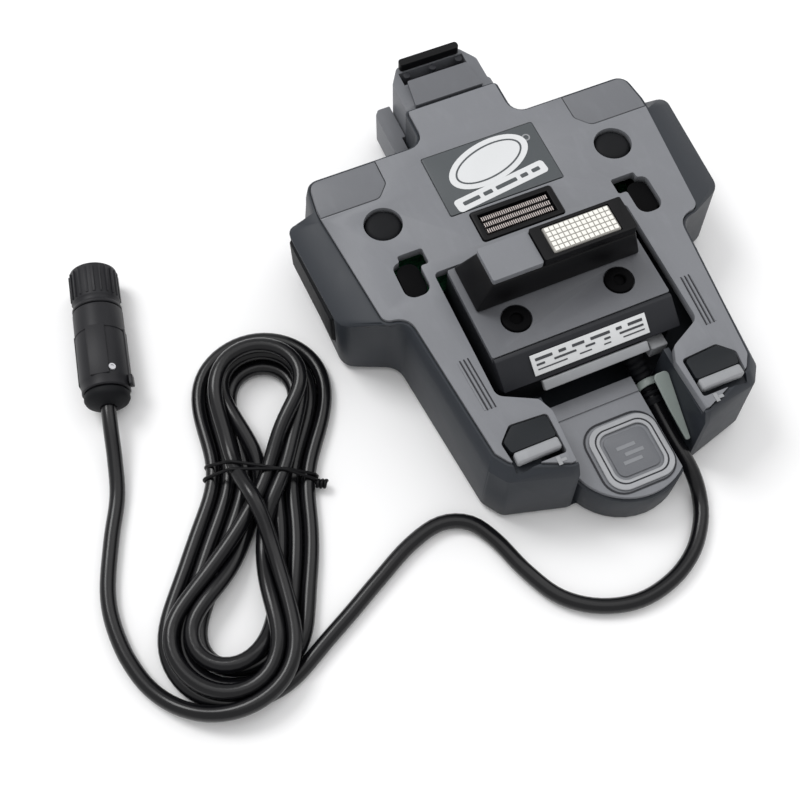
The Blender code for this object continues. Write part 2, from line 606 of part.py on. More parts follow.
def make_latch() -> None:
    """The sliding latch head with its panel, hook, catch, finger tabs, guide rods and springs."""
    half = [(19.2, LATCH_GAP_Y, 1.0), (19.2, 95.0, 3.0), (14.0, LATCH_END_Y - 0.4, 3.0)]
    head = plate("latch_head", [fillet([*((-x, y, r) for x, y, r in half), *reversed(half)])], 4.0, 35.6,
                 SHELL_GRAY)
    round_edges(head, 0.8, 2)
    cut(head, block("cut_catch", (-14.5, 93.0, 29.0), (14.5, 99.6, 45.0), None, CUTTERS))
    for side in (-1, 1):
        cut(head, cylinder(f"cut_seat_{side}", (side * ROD_X, LATCH_GAP_Y, ROD_Z), 1.9, 16.0, None,
                           CUTTERS, "Y", 20))
    panel = plate("latch_panel", [fillet([(-15.2, LATCH_GAP_Y, 0.6), (-13.4, 92.7, 0.6), (13.4, 92.7, 0.6),
                                          (15.2, LATCH_GAP_Y, 0.6)])], 35.9, COVER_Z, COVER_GRAY)
    round_edges(panel, 0.5, 1)
    hook = plate("latch_hook", [fillet(rectangle((-13.4, 100.0), (13.4, LATCH_END_Y), 1.4))], 35.9, 39.6,
                 BLACK)
    round_edges(hook, 0.6, 1)
    catch = block("latch_catch", (-14.0, 94.0, 29.3), (14.0, 99.2, 30.6), STEEL)
    for i, x in enumerate((-11.8, 0.0, 11.8)):
        join(catch, cylinder(f"join_post_{i}", (x, 97.0, 33.2), 1.5, 6.4, None, CUTTERS, steps=16))
    for side in (-1, 1):
        tag = "right" if side > 0 else "left"
        tab = [(21.2, LATCH_GAP_Y + 0.4, 0.0), (21.2, 72.0, 1.0), (27.0, 73.5, 2.0), (27.0, 95.0, 2.0),
               (25.0, 97.6, 1.5), (19.6, 97.6, 0.5), (19.6, LATCH_GAP_Y + 0.4, 0.0)]
        piece = plate(f"latch_tab_{tag}", [fillet([(side * x, y, r) for x, y, r in tab][::-side])], 5.0,
                      20.0,
                      COVER_GRAY)
        round_edges(piece, 0.6, 1)
        rod = [(0.0, 21.4), (1.6, 21.4), (1.6, 2.0), (3.9, 2.0), (3.9, 0.0), (0.0, 0.0)]
        turned(f"latch_rod_{tag}", rod, (side * ROD_X, 63.0, ROD_Z), Vector((0, 1, 0)), STEEL, 24)
        coil = []
        turns, per_turn = 5, 10
        for i in range(turns * per_turn + 1):
            angle = 2 * math.pi * i / per_turn
            coil.append((side * ROD_X + 2.9 * math.cos(angle), 65.8 + 8.6 * i / (turns * per_turn),
                         ROD_Z + 2.9 * math.sin(angle)))
        tube(f"latch_spring_{tag}", coil, [0.4] * len(coil), STEEL)


def make_claws() -> None:
    """The two corner claws on their pins."""
    axis_y, axis_z = CLAW_AXIS
    for side in (-1, 1):
        tag = "right" if side > 0 else "left"
        pad_outline = [(28.2, -66.9, 1.5), (41.5, -66.0, 2.0), (46.6, -70.6, 2.0), (45.6, -75.4, 1.0),
                       (28.2, -75.4, 1.0)]
        claw = plate(f"claw_{tag}", [fillet([(side * x, y, r) for x, y, r in pad_outline][::side])], 34.6,
                     38.6, BLACK)
        round_edges(claw, 0.6, 1)
        low, high = sorted((side * (CLAW_X - 5.0), side * (CLAW_X + 5.0)))
        join(claw, block(f"join_lug_{tag}", (low, axis_y - 2.6, axis_z - 2.6), (high, axis_y + 2.6, 36.0),
                         None,
                         CUTTERS))
        cut(claw, cylinder(f"cut_pin_{tag}", (side * CLAW_X, axis_y, axis_z), 1.35, 30.0, None, CUTTERS,
                           "X", 20))
        cylinder(f"claw_pin_{tag}", (side * CLAW_X, axis_y, axis_z), 1.0, 16.4, STEEL, axis="X", steps=20)
        low, high = sorted((side * 28.2, side * 45.4))
        bar = block(f"claw_bar_{tag}", (low, -80.2, 35.4), (high, -75.8, 39.4), PALE)
        round_edges(bar, 0.8, 2)


# ---------------------------------------------------------------- inside

def make_board() -> None:
    """The circuit board under the cover."""
    board = plate("circuit_board", [fillet(rectangle((-58.0, 8.0), (58.0, 54.0), 2.0))], 12.0, 13.6,
                  BOARD_GREEN)
    join(board, block("join_socket", (-15.0, 10.0, 13.0), (15.0, 20.0, 30.0), None, CUTTERS))


# ---------------------------------------------------------------- lead and plug

def make_lead() -> None:
    """The strain relief, the free stretches of the lead, its hank and the tie."""
    relief = along(RELIEF_ROUTE, 1.25)
    count = len(relief) - 1
    grooves = [0.55 if i % 3 == 1 and 1 < i < count - 1 else 0.0 for i in range(count + 1)]
    radii = [4.4 - 1.25 * i / count - groove for i, groove in enumerate(grooves)]
    tube("strain_relief", relief, radii, RUBBER, 3)
    for name, route in (("cord_lead", LEAD_ROUTE), ("cord_tail", TAIL_ROUTE)):
        points = along(route, CORD_STEP)
        tube(name, points, [CORD_R] * len(points), CORD_BLACK)
    first, last = (Vector(end) for end in HANK_ENDS)
    run = (last - first).normalized()
    across = Vector((-run.y, run.x))
    outline = []
    for centre, sense in ((first, 1), (last, -1)):
        for i in range(13):
            angle = math.pi * i / 12
            spoke = (across * math.cos(angle) - run * math.sin(angle)) * sense
            outline.append(tuple(centre + spoke * HANK_R))
    plate("cord_hank", [outline], *HANK_Z, CORD_BLACK)
    half_width = HANK_R + 0.4
    height = (HANK_Z[0] + HANK_Z[1]) / 2
    half_height = (HANK_Z[1] - HANK_Z[0]) / 2 + 0.3
    tie = plate("cord_tie", [fillet(rectangle((-half_width - 0.6, -half_height - 0.6),
                                              (half_width + 0.6, half_height + 0.6), 1.2)),
                             fillet(rectangle((-half_width, -half_height), (half_width, half_height),
                                              0.7))],
                -1.2, 1.2, BLACK)
    place = first.lerp(last, TIE_SHARE)
    tie.rotation_euler = (math.pi / 2, 0.0, math.atan2(across.y, across.x))
    tie.location = (place.x * MM, place.y * MM, height * MM)


def make_plug() -> None:
    """The round in-line plug: boot, body, turning coupling ring, insert and contacts."""
    turned("connector_boot", [(0.0, 5.6), (8.0, 5.6), (8.6, 4.4), (8.6, 1.8), (4.6, 0.0), (0.0, 0.0)],
           PLUG_REAR, PLUG_DIRECTION, RUBBER)
    front = [(0.0, 60.4), (6.4, 60.4), (6.4, 42.3), (9.8, 42.3), (9.8, 9.0), (9.3, 7.2), (9.3, 5.9),
             (0.0, 5.9)]
    turned("connector_body", front, PLUG_REAR, PLUG_DIRECTION, BLACK)
    ring = [(6.8, 61.4), (8.8, 61.4), (9.7, 60.2), (9.7, 46.2), (9.2, 45.4), (9.2, 44.2), (9.7, 43.4),
            (9.7, 42.7),
            (6.8, 42.7), (6.8, 61.4)]
    turned("coupling_ring", ring, PLUG_REAR, PLUG_DIRECTION, BLACK)
    turned("connector_face", [(0.0, 61.8), (5.9, 61.8), (5.9, 60.7), (0.0, 60.7)], PLUG_REAR,
           PLUG_DIRECTION, PALE)


def make_grips() -> None:
    """The rubber grips in the outer faces of the shoulders."""
    for side in (-1, 1):
        tag = "right" if side > 0 else "left"
        grip = grip_block(f"side_grip_{tag}", side, 0.35)
        round_edges(grip, 0.8, 1)


make_shell()
make_cover()
make_cover_pieces()
make_module()
make_docking_block()
make_tongue()
make_latch()
make_claws()
make_board()
make_grips()
make_lead()
make_plug()
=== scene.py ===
"""Studio view of a vehicle docking cradle with its charging lead, tied hank and round plug.

The cradle lies flat with +Z out of its cover and +Y towards the latch. Tables are in millimetres
and MM turns them into metres.
"""

import logging
import math
from dataclasses import dataclass, field
from enum import Enum

import bmesh
import bpy
import numpy as np
from mathutils import Matrix, Vector


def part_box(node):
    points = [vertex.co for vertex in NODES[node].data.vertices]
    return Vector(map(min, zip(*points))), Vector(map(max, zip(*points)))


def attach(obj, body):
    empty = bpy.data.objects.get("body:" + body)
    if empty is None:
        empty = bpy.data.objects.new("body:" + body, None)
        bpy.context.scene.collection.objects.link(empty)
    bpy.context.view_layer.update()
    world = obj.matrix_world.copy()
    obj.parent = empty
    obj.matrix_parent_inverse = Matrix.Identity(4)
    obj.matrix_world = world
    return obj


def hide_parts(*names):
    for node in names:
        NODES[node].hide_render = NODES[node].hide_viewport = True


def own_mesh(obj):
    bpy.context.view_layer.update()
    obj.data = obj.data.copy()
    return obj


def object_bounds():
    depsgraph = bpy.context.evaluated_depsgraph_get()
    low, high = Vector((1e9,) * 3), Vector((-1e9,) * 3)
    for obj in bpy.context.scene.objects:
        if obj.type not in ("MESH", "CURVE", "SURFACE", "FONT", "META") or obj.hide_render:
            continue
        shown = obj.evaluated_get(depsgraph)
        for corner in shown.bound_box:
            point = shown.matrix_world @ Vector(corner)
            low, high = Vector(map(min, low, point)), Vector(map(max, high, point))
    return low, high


MM = 0.001
ARC_STEPS = 8
SHARP = 32.0
ROOT = "root"
COUPLING = "coupling"
UP = Vector((0.0, 0.0, 1.0))
LOG = logging.getLogger("docking_cradle")

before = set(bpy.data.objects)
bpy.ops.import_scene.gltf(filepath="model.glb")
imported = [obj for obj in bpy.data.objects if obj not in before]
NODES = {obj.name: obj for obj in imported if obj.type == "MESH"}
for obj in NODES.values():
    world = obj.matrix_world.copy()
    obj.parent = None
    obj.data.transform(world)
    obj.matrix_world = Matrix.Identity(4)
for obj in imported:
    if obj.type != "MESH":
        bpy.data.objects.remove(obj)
CAD_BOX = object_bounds()


# ---------------------------------------------------------------- shader building

class Wire:
    """A socket of a material's nodes, with arithmetic on its values."""

    def __init__(self, graph: "Graph", socket: bpy.types.NodeSocket) -> None:
        """Wrap a socket of a graph."""
        self.graph, self.socket = graph, socket

    def maths(self, operation: str, first: object, second: object = 0.0) -> "Wire":
        """Add a Math node.

        Args:
            operation: The Math node's operation.
            first: Its first value or Wire.
            second: Its second value or Wire.

        Returns:
            The node's value.
        """
        return self.graph.node("ShaderNodeMath", {"operation": operation}, {0: first, 1: second})

    def __add__(self, other: object) -> "Wire":
        """Return self + other."""
        return self.maths("ADD", self, other)

    def __radd__(self, other: object) -> "Wire":
        """Return other + self."""
        return self.maths("ADD", other, self)

    def __mul__(self, other: object) -> "Wire":
        """Return self * other."""
        return self.maths("MULTIPLY", self, other)

    def __rmul__(self, other: object) -> "Wire":
        """Return other * self."""
        return self.maths("MULTIPLY", other, self)


class Graph:
    """The nodes of one material, about its Principled BSDF."""

    def __init__(self, name: str) -> None:
        """Make an empty material of that name."""
        self.material = bpy.data.materials.new(name)
        self.material.use_nodes = True
        self.tree = self.material.node_tree
        self.shader = self.tree.nodes["Principled BSDF"]

    def node(self, kind: str, settings: dict, inputs: dict, output: object = 0) -> Wire:
        """Add a node.

        Args:
            kind: The node's type.
            settings: Its properties, set first. "stops" gives a colour ramp's (place, colour) pairs.
            inputs: Values or Wires by socket name or number.
            output: The socket that the result wraps.

        Returns:
            That output.
        """
        made = self.tree.nodes.new(kind)
        for key, value in settings.items():
            if key == "stops":
                ramp = made.color_ramp.elements
                while len(ramp) < len(value):
                    ramp.new(0.5)
                for stop, (place, colour) in zip(ramp, value):
                    stop.position, stop.color = place, (*colour, 1.0)
            else:
                setattr(made, key, value)
        for key, value in inputs.items():
            self.join(value, made.inputs[key])
        return Wire(self, made.outputs[output])

    def join(self, value: object, socket: bpy.types.NodeSocket) -> None:
        """Link a Wire to a socket, or set the socket to a value."""
        if isinstance(value, Wire):
            self.tree.links.new(value.socket, socket)
        else:
            socket.default_value = value

    def dress(self, **sockets: object) -> None:
        """Set the Principled BSDF's sockets, named with _ for each space."""
        for key, value in sockets.items():
            self.join(value, self.shader.inputs[key.replace("_", " ")])

    def place(self) -> Wire:
        """Return the surface's place on its own piece."""
        return self.node("ShaderNodeTexCoord", {}, {}, "Object")

    def noise(self, scale: float, detail: float, stretch: tuple = (1.0, 1.0, 1.0)) -> Wire:
        """Return a noise value, drawn out along the axes by stretch."""
        drawn = self.node("ShaderNodeMapping", {}, {"Vector": self.place(), "Scale": stretch})
        return self.node("ShaderNodeTexNoise", {}, {"Vector": drawn, "Scale": scale, "Detail": detail})

    def blend(self, share: object, first: object, second: object) -> Wire:
        """Return a colour between first and second."""
        return self.node("ShaderNodeMix", {"data_type": "RGBA"}, {0: share, 6: first, 7: second}, 2)

    def bump(self, height: Wire, depth: float, strength: float) -> Wire:
        """Return a normal pushed by a height, with the relief's depth in metres."""
        return self.node("ShaderNodeBump", {}, {"Height": height, "Distance": depth, "Strength": strength})


def rgba(colour: tuple, gain: float = 1.0) -> tuple:
    """Return a colour with alpha, made lighter or darker by gain."""
    return (*[min(1.0, part * gain) for part in colour], 1.0)


class Texture(Enum):
    """How a surface was moulded or finished: the grain's scale and its depth in metres."""

    SPARK = (2600.0, 0.00006)
    SATIN = (5200.0, 0.00002)
    PEBBLE = (1300.0, 0.00010)
    SMOOTH = (900.0, 0.00001)


@dataclass(frozen=True)
class Moulded:
    """A moulded plastic or rubber, with its grain, handling marks and slight mottling.

    Attributes:
        mottle: How far its tone strays from its colour.
        coat: Weight of its clear coat.
        slot: The name of its material slot; not used.
        shine: Its specular level.
        rubbed: Share and gain of the paler handling marks.
        pitted: Share and gain of the darker pits of its grain.
    """

    name: str
    colour: tuple
    roughness: float
    texture: Texture
    mottle: float = 0.10
    coat: float = 0.0
    slot: str = "black_plastic"
    shine: float = 0.4
    rubbed: tuple = (0.16, 1.45)
    pitted: tuple = (0.18, 0.72)

    def build(self) -> bpy.types.Material:
        """Return the material."""
        graph = Graph(self.name)
        scale, depth = self.texture.value
        grain = graph.noise(scale, 2.0)
        cloud = graph.noise(38.0, 4.0)
        rub = graph.noise(260.0, 5.0, (1.0, 0.35, 1.0))
        worn = graph.node("ShaderNodeValToRGB", {"stops": [(0.52, (0, 0, 0)), (0.74, (1, 1, 1))]}, {0: rub})
        tone = graph.blend(cloud, rgba(self.colour, 1 - self.mottle), rgba(self.colour, 1 + self.mottle))
        for mask, (share, gain) in ((worn, self.rubbed), (grain, self.pitted)):
            tone = graph.blend(mask * share, tone, rgba(self.colour, gain))
        graph.dress(Base_Color=tone, Roughness=cloud * 0.10 + rub * 0.08 + (self.roughness - 0.09),
                    Normal=graph.bump(grain, depth, 0.55), Coat_Weight=self.coat, Coat_Roughness=0.25,
                    Specular_IOR_Level=self.shine)
        return graph.material


@dataclass(frozen=True)
class Printed:
    """A printed film or ceramic face with a faint fibre."""

    name: str
    paper: tuple
    slot: str = "white_label"

    def build(self) -> bpy.types.Material:
        """Return the material."""
        graph = Graph(self.name)
        fibre = graph.noise(2200.0, 4.0)
        cloud = graph.noise(60.0, 3.0)
        tone = graph.blend(cloud, rgba(self.paper, 0.93), rgba(self.paper, 1.05))
        tone = graph.blend(fibre * 0.12, tone, rgba(self.paper, 0.80))
        graph.dress(Base_Color=tone, Roughness=fibre * 0.12 + 0.34, Normal=graph.bump(fibre, 0.00002, 0.3),
                    Specular_IOR_Level=0.3)
        return graph.material


@dataclass(frozen=True)
class Metal:
    """A plated metal with fine drawn lines."""

    name: str
    colour: tuple
    roughness: float
    slot: str = "steel"

    def build(self) -> bpy.types.Material:
        """Return the material."""
        graph = Graph(self.name)
        lines = graph.noise(1500.0, 3.0, (1.0, 0.08, 1.0))
        cloud = graph.noise(70.0, 3.0)
        tone = graph.blend(lines, rgba(self.colour, 0.85), rgba(self.colour, 1.1))
        graph.dress(Base_Color=tone, Metallic=1.0, Roughness=cloud * 0.15 + (self.roughness - 0.05),
                    Normal=graph.bump(lines, 0.00001, 0.4))
        return graph.material


@dataclass(frozen=True)
class Board:
    """A lacquered circuit board with copper tracks under its mask."""

    name: str
    colour: tuple
    slot: str = "board_green"

    def build(self) -> bpy.types.Material:
        """Return the material."""
        graph = Graph(self.name)
        tracks = graph.node("ShaderNodeTexBrick", {"offset": 0.5}, {"Vector": graph.place(), "Scale": 180.0},
                            "Fac")
        cloud = graph.noise(90.0, 3.0)
        tone = graph.blend(cloud, rgba(self.colour, 0.85), rgba(self.colour, 1.15))
        tone = graph.blend(tracks * 0.6, tone, rgba(self.colour, 2.2))
        graph.dress(Base_Color=tone, Roughness=cloud * 0.2 + 0.25, Normal=graph.bump(tracks, 0.00003, 0.4))
        return graph.material


@dataclass(frozen=True)
class Paper:
    """The seamless pale sweep that the cradle lies on."""

    name: str
    colour: tuple

    def build(self) -> bpy.types.Material:
        """Return the material."""
        graph = Graph(self.name)
        cloud = graph.noise(3.0, 2.0)
        tone = graph.blend(cloud, rgba(self.colour, 0.995), rgba(self.colour))
        graph.dress(Base_Color=tone, Roughness=0.9)
        return graph.material


class Finish(Enum):
    """Every finish on the cradle."""

    COVER = Moulded("cover_plastic", (0.184, 0.190, 0.206), 0.52, Texture.SPARK, 0.05, 0.0, "cover_gray")
    # The cover's gray plastic painted darker: painted shade on the corner pads; the latch tabs take the same
    # tone.
    PAD = Moulded("pad_shade_plastic", (0.140, 0.145, 0.158), 0.50, Texture.SPARK, 0.05, 0.0, "cover_gray")
    # The cover's gray plastic painted darker: on the module shelf it is painted shade of the docking block's
    # shadow; the latch panel takes the same tone.
    SHELF = Moulded("shelf_shade_plastic", (0.118, 0.122, 0.134), 0.52, Texture.SPARK, 0.05, 0.0, "cover_gray")
    SHELL = Moulded("shell_plastic", (0.024, 0.028, 0.035), 0.50,
                    Texture.SPARK, 0.08, 0.0, "shell_gray", 0.3)
    SLATE = Moulded("slate_plastic", (0.018, 0.019, 0.023), 0.48,
                    Texture.SATIN, 0.08, 0.0, "shell_gray", 0.25)
    BLACK = Moulded("black_moulding", (0.0040, 0.0040, 0.0048), 0.44, Texture.SATIN, 0.12, shine=0.16)
    DEEP = Moulded("deep_black", (0.0018, 0.0018, 0.0022), 0.6, Texture.SMOOTH, 0.12, shine=0.05)
    RUBBER = Moulded("soft_rubber", (0.0050, 0.0054, 0.0068), 0.62,
                     Texture.PEBBLE, 0.14, 0.0, "rubber", 0.16)
    JACKET = Moulded("lead_jacket", (0.0042, 0.0042, 0.0052), 0.24,
                     Texture.SMOOTH, 0.12, 0.10, "cord_black", 0.3)
    PLUG = Moulded("plug_nylon", (0.0150, 0.0150, 0.0175), 0.46,
                   Texture.SPARK, 0.12, 0.0, "black_plastic", 0.22)
    CLAW = Moulded("claw_plastic", (0.0100, 0.0122, 0.0150), 0.40, Texture.SATIN, 0.10, shine=0.2)
    PALE = Moulded("pale_moulding", (0.280, 0.287, 0.300), 0.42, Texture.SATIN, 0.05, 0.0, "pale_plastic")
    GUIDE = Moulded("guide_plastic", (0.250, 0.285, 0.270), 0.38, Texture.SATIN, 0.06, 0.1, "pale_plastic")
    BADGE = Moulded("badge_plastic", (0.330, 0.337, 0.352), 0.36, Texture.SATIN, 0.04, 0.1, "pale_plastic")
    FIELD = Moulded("badge_field", (0.130, 0.135, 0.148), 0.45, Texture.PEBBLE, 0.12, 0.0, "cover_gray")
    EMBOSS = Moulded("badge_emboss", (0.205, 0.212, 0.226), 0.40, Texture.SATIN, 0.10, 0.0, "cover_gray")
    PLATE = Moulded("plate_film", (0.066, 0.074, 0.080), 0.46, Texture.SATIN, 0.05, 0.0, "shell_gray")
    WHITE = Printed("white_film", (0.66, 0.67, 0.68))
    INK = Moulded("label_ink", (0.060, 0.062, 0.068), 0.5, Texture.SATIN, 0.2, shine=0.2)
    CELL = Printed("contact_white", (0.84, 0.83, 0.78))
    GROUT = Printed("contact_gray", (0.30, 0.29, 0.27))
    STEEL = Metal("plated_steel", (0.50, 0.50, 0.52), 0.32)
    PINS = Metal("contact_bronze", (0.48, 0.43, 0.41), 0.46)
    BOARD = Board("board_mask", (0.03, 0.18, 0.08))
    FLOOR = Paper("floor_paper", (0.93, 0.93, 0.935))

    def material(self) -> bpy.types.Material:
        """Return the finish's material, made once."""
        return bpy.data.materials.get(self.value.name) or self.value.build()


# ---------------------------------------------------------------- outlines and meshes

def fillet(corners: list, steps: int = ARC_STEPS) -> list:
    """Round the corners of a closed outline.

    Args:
        corners: Each corner's x, y and radius.
        steps: Straight pieces in each rounded corner.

    Returns:
        The outline's points.
    """
    points, count = [], len(corners)
    for i, (x, y, radius) in enumerate(corners):
        here = Vector((x, y))
        back = (Vector(corners[i - 1][:2]) - here).normalized()
        ahead = (Vector(corners[(i + 1) % count][:2]) - here).normalized()
        half = back.angle(ahead) / 2
        if radius <= 0 or half > math.pi / 2 - 0.01:
            points.append((x, y))
            continue
        centre = here + (back + ahead).normalized() * (radius / math.sin(half))
        start = here + back * (radius / math.tan(half)) - centre
        turn = start.angle_signed(here + ahead * (radius / math.tan(half)) - centre)
        for step in range(steps + 1):
            swung = start.copy()
            swung.rotate(Matrix.Rotation(-turn * step / steps, 2))
            points.append(tuple(centre + swung))
    return points


def rectangle(low: tuple, high: tuple, radius: float) -> list:
    """Return the corners of a rounded rectangle."""
    return [(low[0], high[1], radius), (high[0], high[1], radius),
            (high[0], low[1], radius), (low[0], low[1], radius)]


def ellipse(centre: tuple, radii: tuple, turn: float = 0.0) -> list:
    """Return the points of an ellipse, turned by an angle in degrees."""
    steps = 48
    c, s = math.cos(math.radians(turn)), math.sin(math.radians(turn))
    round_ = [(radii[0] * math.cos(a), radii[1] * math.sin(a))
              for a in (2 * math.pi * i / steps for i in range(steps))]
    return [(centre[0] + c * x - s * y, centre[1] + s * x + c * y) for x, y in round_]


def added(name: str, mesh: bpy.types.Mesh, finish: Finish, body: str = ROOT) -> bpy.types.Object:
    """Put a mesh in the scene as a piece.

    Args:
        name: The piece's name.
        mesh: Its mesh.
        finish: What it is made of.
        body: The body that it moves with.

    Returns:
        The piece.
    """
    made = bpy.data.objects.new(name, mesh)
    bpy.context.scene.collection.objects.link(made)
    mesh.materials.clear()
    mesh.materials.append(finish.material())
    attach(made, body)
    return made


def closed_mesh(name: str, work: bmesh.types.BMesh) -> bpy.types.Mesh:
    """Return a finished bmesh as a mesh, and free it."""
    mesh = bpy.data.meshes.new(name)
    work.to_mesh(mesh)
    work.free()
    return mesh


def stretched(size: tuple) -> Matrix:
    """Return the matrix that gives a unit cube a size in millimetres."""
    return Matrix.Diagonal((*[value * MM for value in size], 1.0))


def evaluated_mesh(name: str, curve: bpy.types.Curve, move: Matrix) -> bpy.types.Mesh:
    """Return a curve's surface as a closed mesh, moved into place."""
    guide = bpy.data.objects.new(name + "_guide", curve)
    bpy.context.scene.collection.objects.link(guide)
    mesh = bpy.data.meshes.new_from_object(guide.evaluated_get(bpy.context.evaluated_depsgraph_get()))
    bpy.data.objects.remove(guide, do_unlink=True)
    bpy.data.curves.remove(curve)
    work = bmesh.new()
    work.from_mesh(mesh)
    bmesh.ops.remove_doubles(work, verts=work.verts, dist=1e-6)
    bmesh.ops.recalc_face_normals(work, faces=work.faces)
    bmesh.ops.transform(work, matrix=move, verts=work.verts)
    work.to_mesh(mesh)
    work.free()
    mesh.name = name
    return mesh


def plate(name: str, finish: Finish, outlines: list, low: float, high: float, edge: float = 0.0,
          move: Matrix = Matrix.Identity(4)) -> bpy.types.Object:
    """Lay flat shapes with rounded edges.

    Args:
        name: The piece's name.
        finish: What it is made of.
        outlines: Closed outlines in millimetres. One inside another is a hole in it.
        low: Underside's height.
        high: Top's height.
        edge: Width of the rounding on the edges.
        move: Turns and moves the finished piece.

    Returns:
        The piece.
    """
    curve = bpy.data.curves.new(name, "CURVE")
    curve.dimensions = "2D"
    curve.fill_mode = "BOTH"
    curve.extrude = max((high - low) / 2 - edge, 0.001) * MM
    curve.bevel_depth = edge * MM
    curve.bevel_resolution = 2
    curve.offset = -edge * MM
    for outline in outlines:
        spline = curve.splines.new("POLY")
        spline.points.add(len(outline) - 1)
        spline.use_cyclic_u = True
        for point, (x, y) in zip(spline.points, outline):
            point.co = (x * MM, y * MM, 0.0, 1.0)
    middle = Matrix.Translation((0, 0, (low + high) / 2 * MM))
    return added(name, evaluated_mesh(name, curve, move @ middle), finish)


def tube(name: str, finish: Finish, points: list, radii: list, sides: int = 3) -> bpy.types.Object:
    """Build a round tube with closed ends along points, with a radius at each."""
    curve = bpy.data.curves.new(name, "CURVE")
    curve.dimensions = "3D"
    curve.bevel_depth = MM
    curve.bevel_resolution = sides
    curve.use_fill_caps = True
    spline = curve.splines.new("POLY")
    spline.points.add(len(points) - 1)
    for point, place, radius in zip(spline.points, points, radii):
        point.co = (*[value * MM for value in place], 1.0)
        point.radius = radius
    return smooth(added(name, evaluated_mesh(name, curve, Matrix.Identity(4)), finish), 60)


def turned(name: str, finish: Finish, profile: list, place: tuple, direction: Vector = UP, body: str = ROOT,
           crease: float = 35.0, steps: int = 64) -> bpy.types.Object:
    """Build a turned piece.

    Args:
        name: The piece's name.
        finish: What it is made of.
        profile: (radius, height) pairs in millimetres.
        place: Where its axis starts.
        direction: The axis that the heights run along.
        body: The body that it moves with.
        crease: Edges sharper than this, in degrees, stay sharp.
        steps: Faces round it.

    Returns:
        The piece.
    """
    work = bmesh.new()
    rings = []
    for radius, height in profile:
        if radius <= 0:
            rings.append([work.verts.new((0.0, 0.0, height * MM))])
        else:
            rings.append([work.verts.new((radius * MM * math.cos(a), radius * MM * math.sin(a), height * MM))
                          for a in (2 * math.pi * i / steps for i in range(steps))])
    for first, second in zip(rings, rings[1:]):
        for i in range(steps):
            corners = [first[(i - 1) % len(first)], first[i % len(first)],
                       second[i % len(second)], second[(i - 1) % len(second)]]
            work.faces.new(list(dict.fromkeys(corners)))
    bmesh.ops.recalc_face_normals(work, faces=work.faces)
    turn = direction.to_track_quat("Z", "X").to_matrix().to_4x4()
    bmesh.ops.transform(work, matrix=Matrix.Translation(Vector(place) * MM) @ turn, verts=work.verts)
    return smooth(added(name, closed_mesh(name, work), finish, body), crease)


def blocks(name: str, finish: Finish, boxes: list, edge: float) -> bpy.types.Object:
    """Build one piece of separate blocks.

    Args:
        name: The piece's name.
        finish: What it is made of.
        boxes: Each block's centre, size and turn about Z in degrees, in millimetres.
        edge: Width of the bevel on every edge.

    Returns:
        The piece.
    """
    work = bmesh.new()
    for centre, size, turn in boxes:
        place = Matrix.Translation(Vector(centre) * MM) @ Matrix.Rotation(math.radians(turn), 4, "Z")
        bmesh.ops.create_cube(work, size=1.0, matrix=place @ stretched(size))
    bmesh.ops.bevel(work, geom=work.edges[:], offset=edge * MM, segments=2, affect="EDGES", profile=0.5)
    return added(name, closed_mesh(name, work), finish)


def soften(piece: bpy.types.Object, width: float) -> bpy.types.Object:
    """Round a piece's edges sharper than SHARP degrees, by a width in millimetres, and shade it smoothly."""
    weld = piece.modifiers.new("weld", "WELD")
    weld.merge_threshold = 0.000005
    flat = piece.modifiers.new("flat_faces", "DECIMATE")
    flat.decimate_type = "DISSOLVE"
    flat.angle_limit = math.radians(0.6)
    bevel = piece.modifiers.new("soft_edge", "BEVEL")
    bevel.width = width * MM
    bevel.segments = 2
    bevel.limit_method = "ANGLE"
    bevel.angle_limit = math.radians(SHARP)
    bevel.harden_normals = True
    for face in piece.data.polygons:
        face.use_smooth = True
    return piece


def smooth(piece: bpy.types.Object, angle: float) -> bpy.types.Object:
    """Shade a piece smoothly, with creases at edges sharper than an angle in degrees."""
    for face in piece.data.polygons:
        face.use_smooth = True
    crease = piece.modifiers.new("crease", "EDGE_SPLIT")
    crease.split_angle = math.radians(angle)
    crease.use_edge_sharp = False
    return piece


def carried(name: str, finish: Finish, width: float) -> bpy.types.Object:
    """Dress a CAD node with a finish and edges softened by a width in millimetres, and return it."""
    node = NODES[name]
    node.data.materials.clear()
    node.data.materials.append(finish.material())
    return soften(node, width)


def centre_of(name: str) -> Vector:
    """Return the middle of a CAD node's box, in millimetres."""
    low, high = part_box(name)
    return (low + high) / 2 / MM


def smooth_route(route: list, step: float) -> np.ndarray:
    """Return evenly spaced points on the smooth curve through a route's points."""
    knots = np.array([2 * np.array(route[0]) - route[1], *route, 2 * np.array(route[-1]) - route[-2]], float)
    fine = []
    for a, b, c, d in zip(knots, knots[1:], knots[2:], knots[3:]):
        for t in np.arange(0, 1, 1 / 16):
            fine.append(0.5 * (2 * b + (c - a) * t + (2 * a - 5 * b + 4 * c - d) * t * t
                               + (3 * b - a - 3 * c + d) * t ** 3))
    line = np.array([*fine, knots[-2]])
    along = np.concatenate([[0.0], np.cumsum(np.linalg.norm(np.diff(line, axis=0), axis=1))])
    goals = np.linspace(0.0, along[-1], max(2, round(along[-1] / step)) + 1)
    return np.stack([np.interp(goals, along, line[:, axis]) for axis in range(3)], axis=1)


# ---------------------------------------------------------------- lead

@dataclass(frozen=True)
class Turn:
    """One turn of the hank.

    Attributes:
        end: Radius and height of its round end, in millimetres.
        left: Distance from the hank's middle and height at each station of its left side.
        right: The same for its right side.
        bridge: Height at which its second side crosses over its first one, or 0.
    """

    end: tuple
    left: tuple
    right: tuple
    bridge: float = 0.0


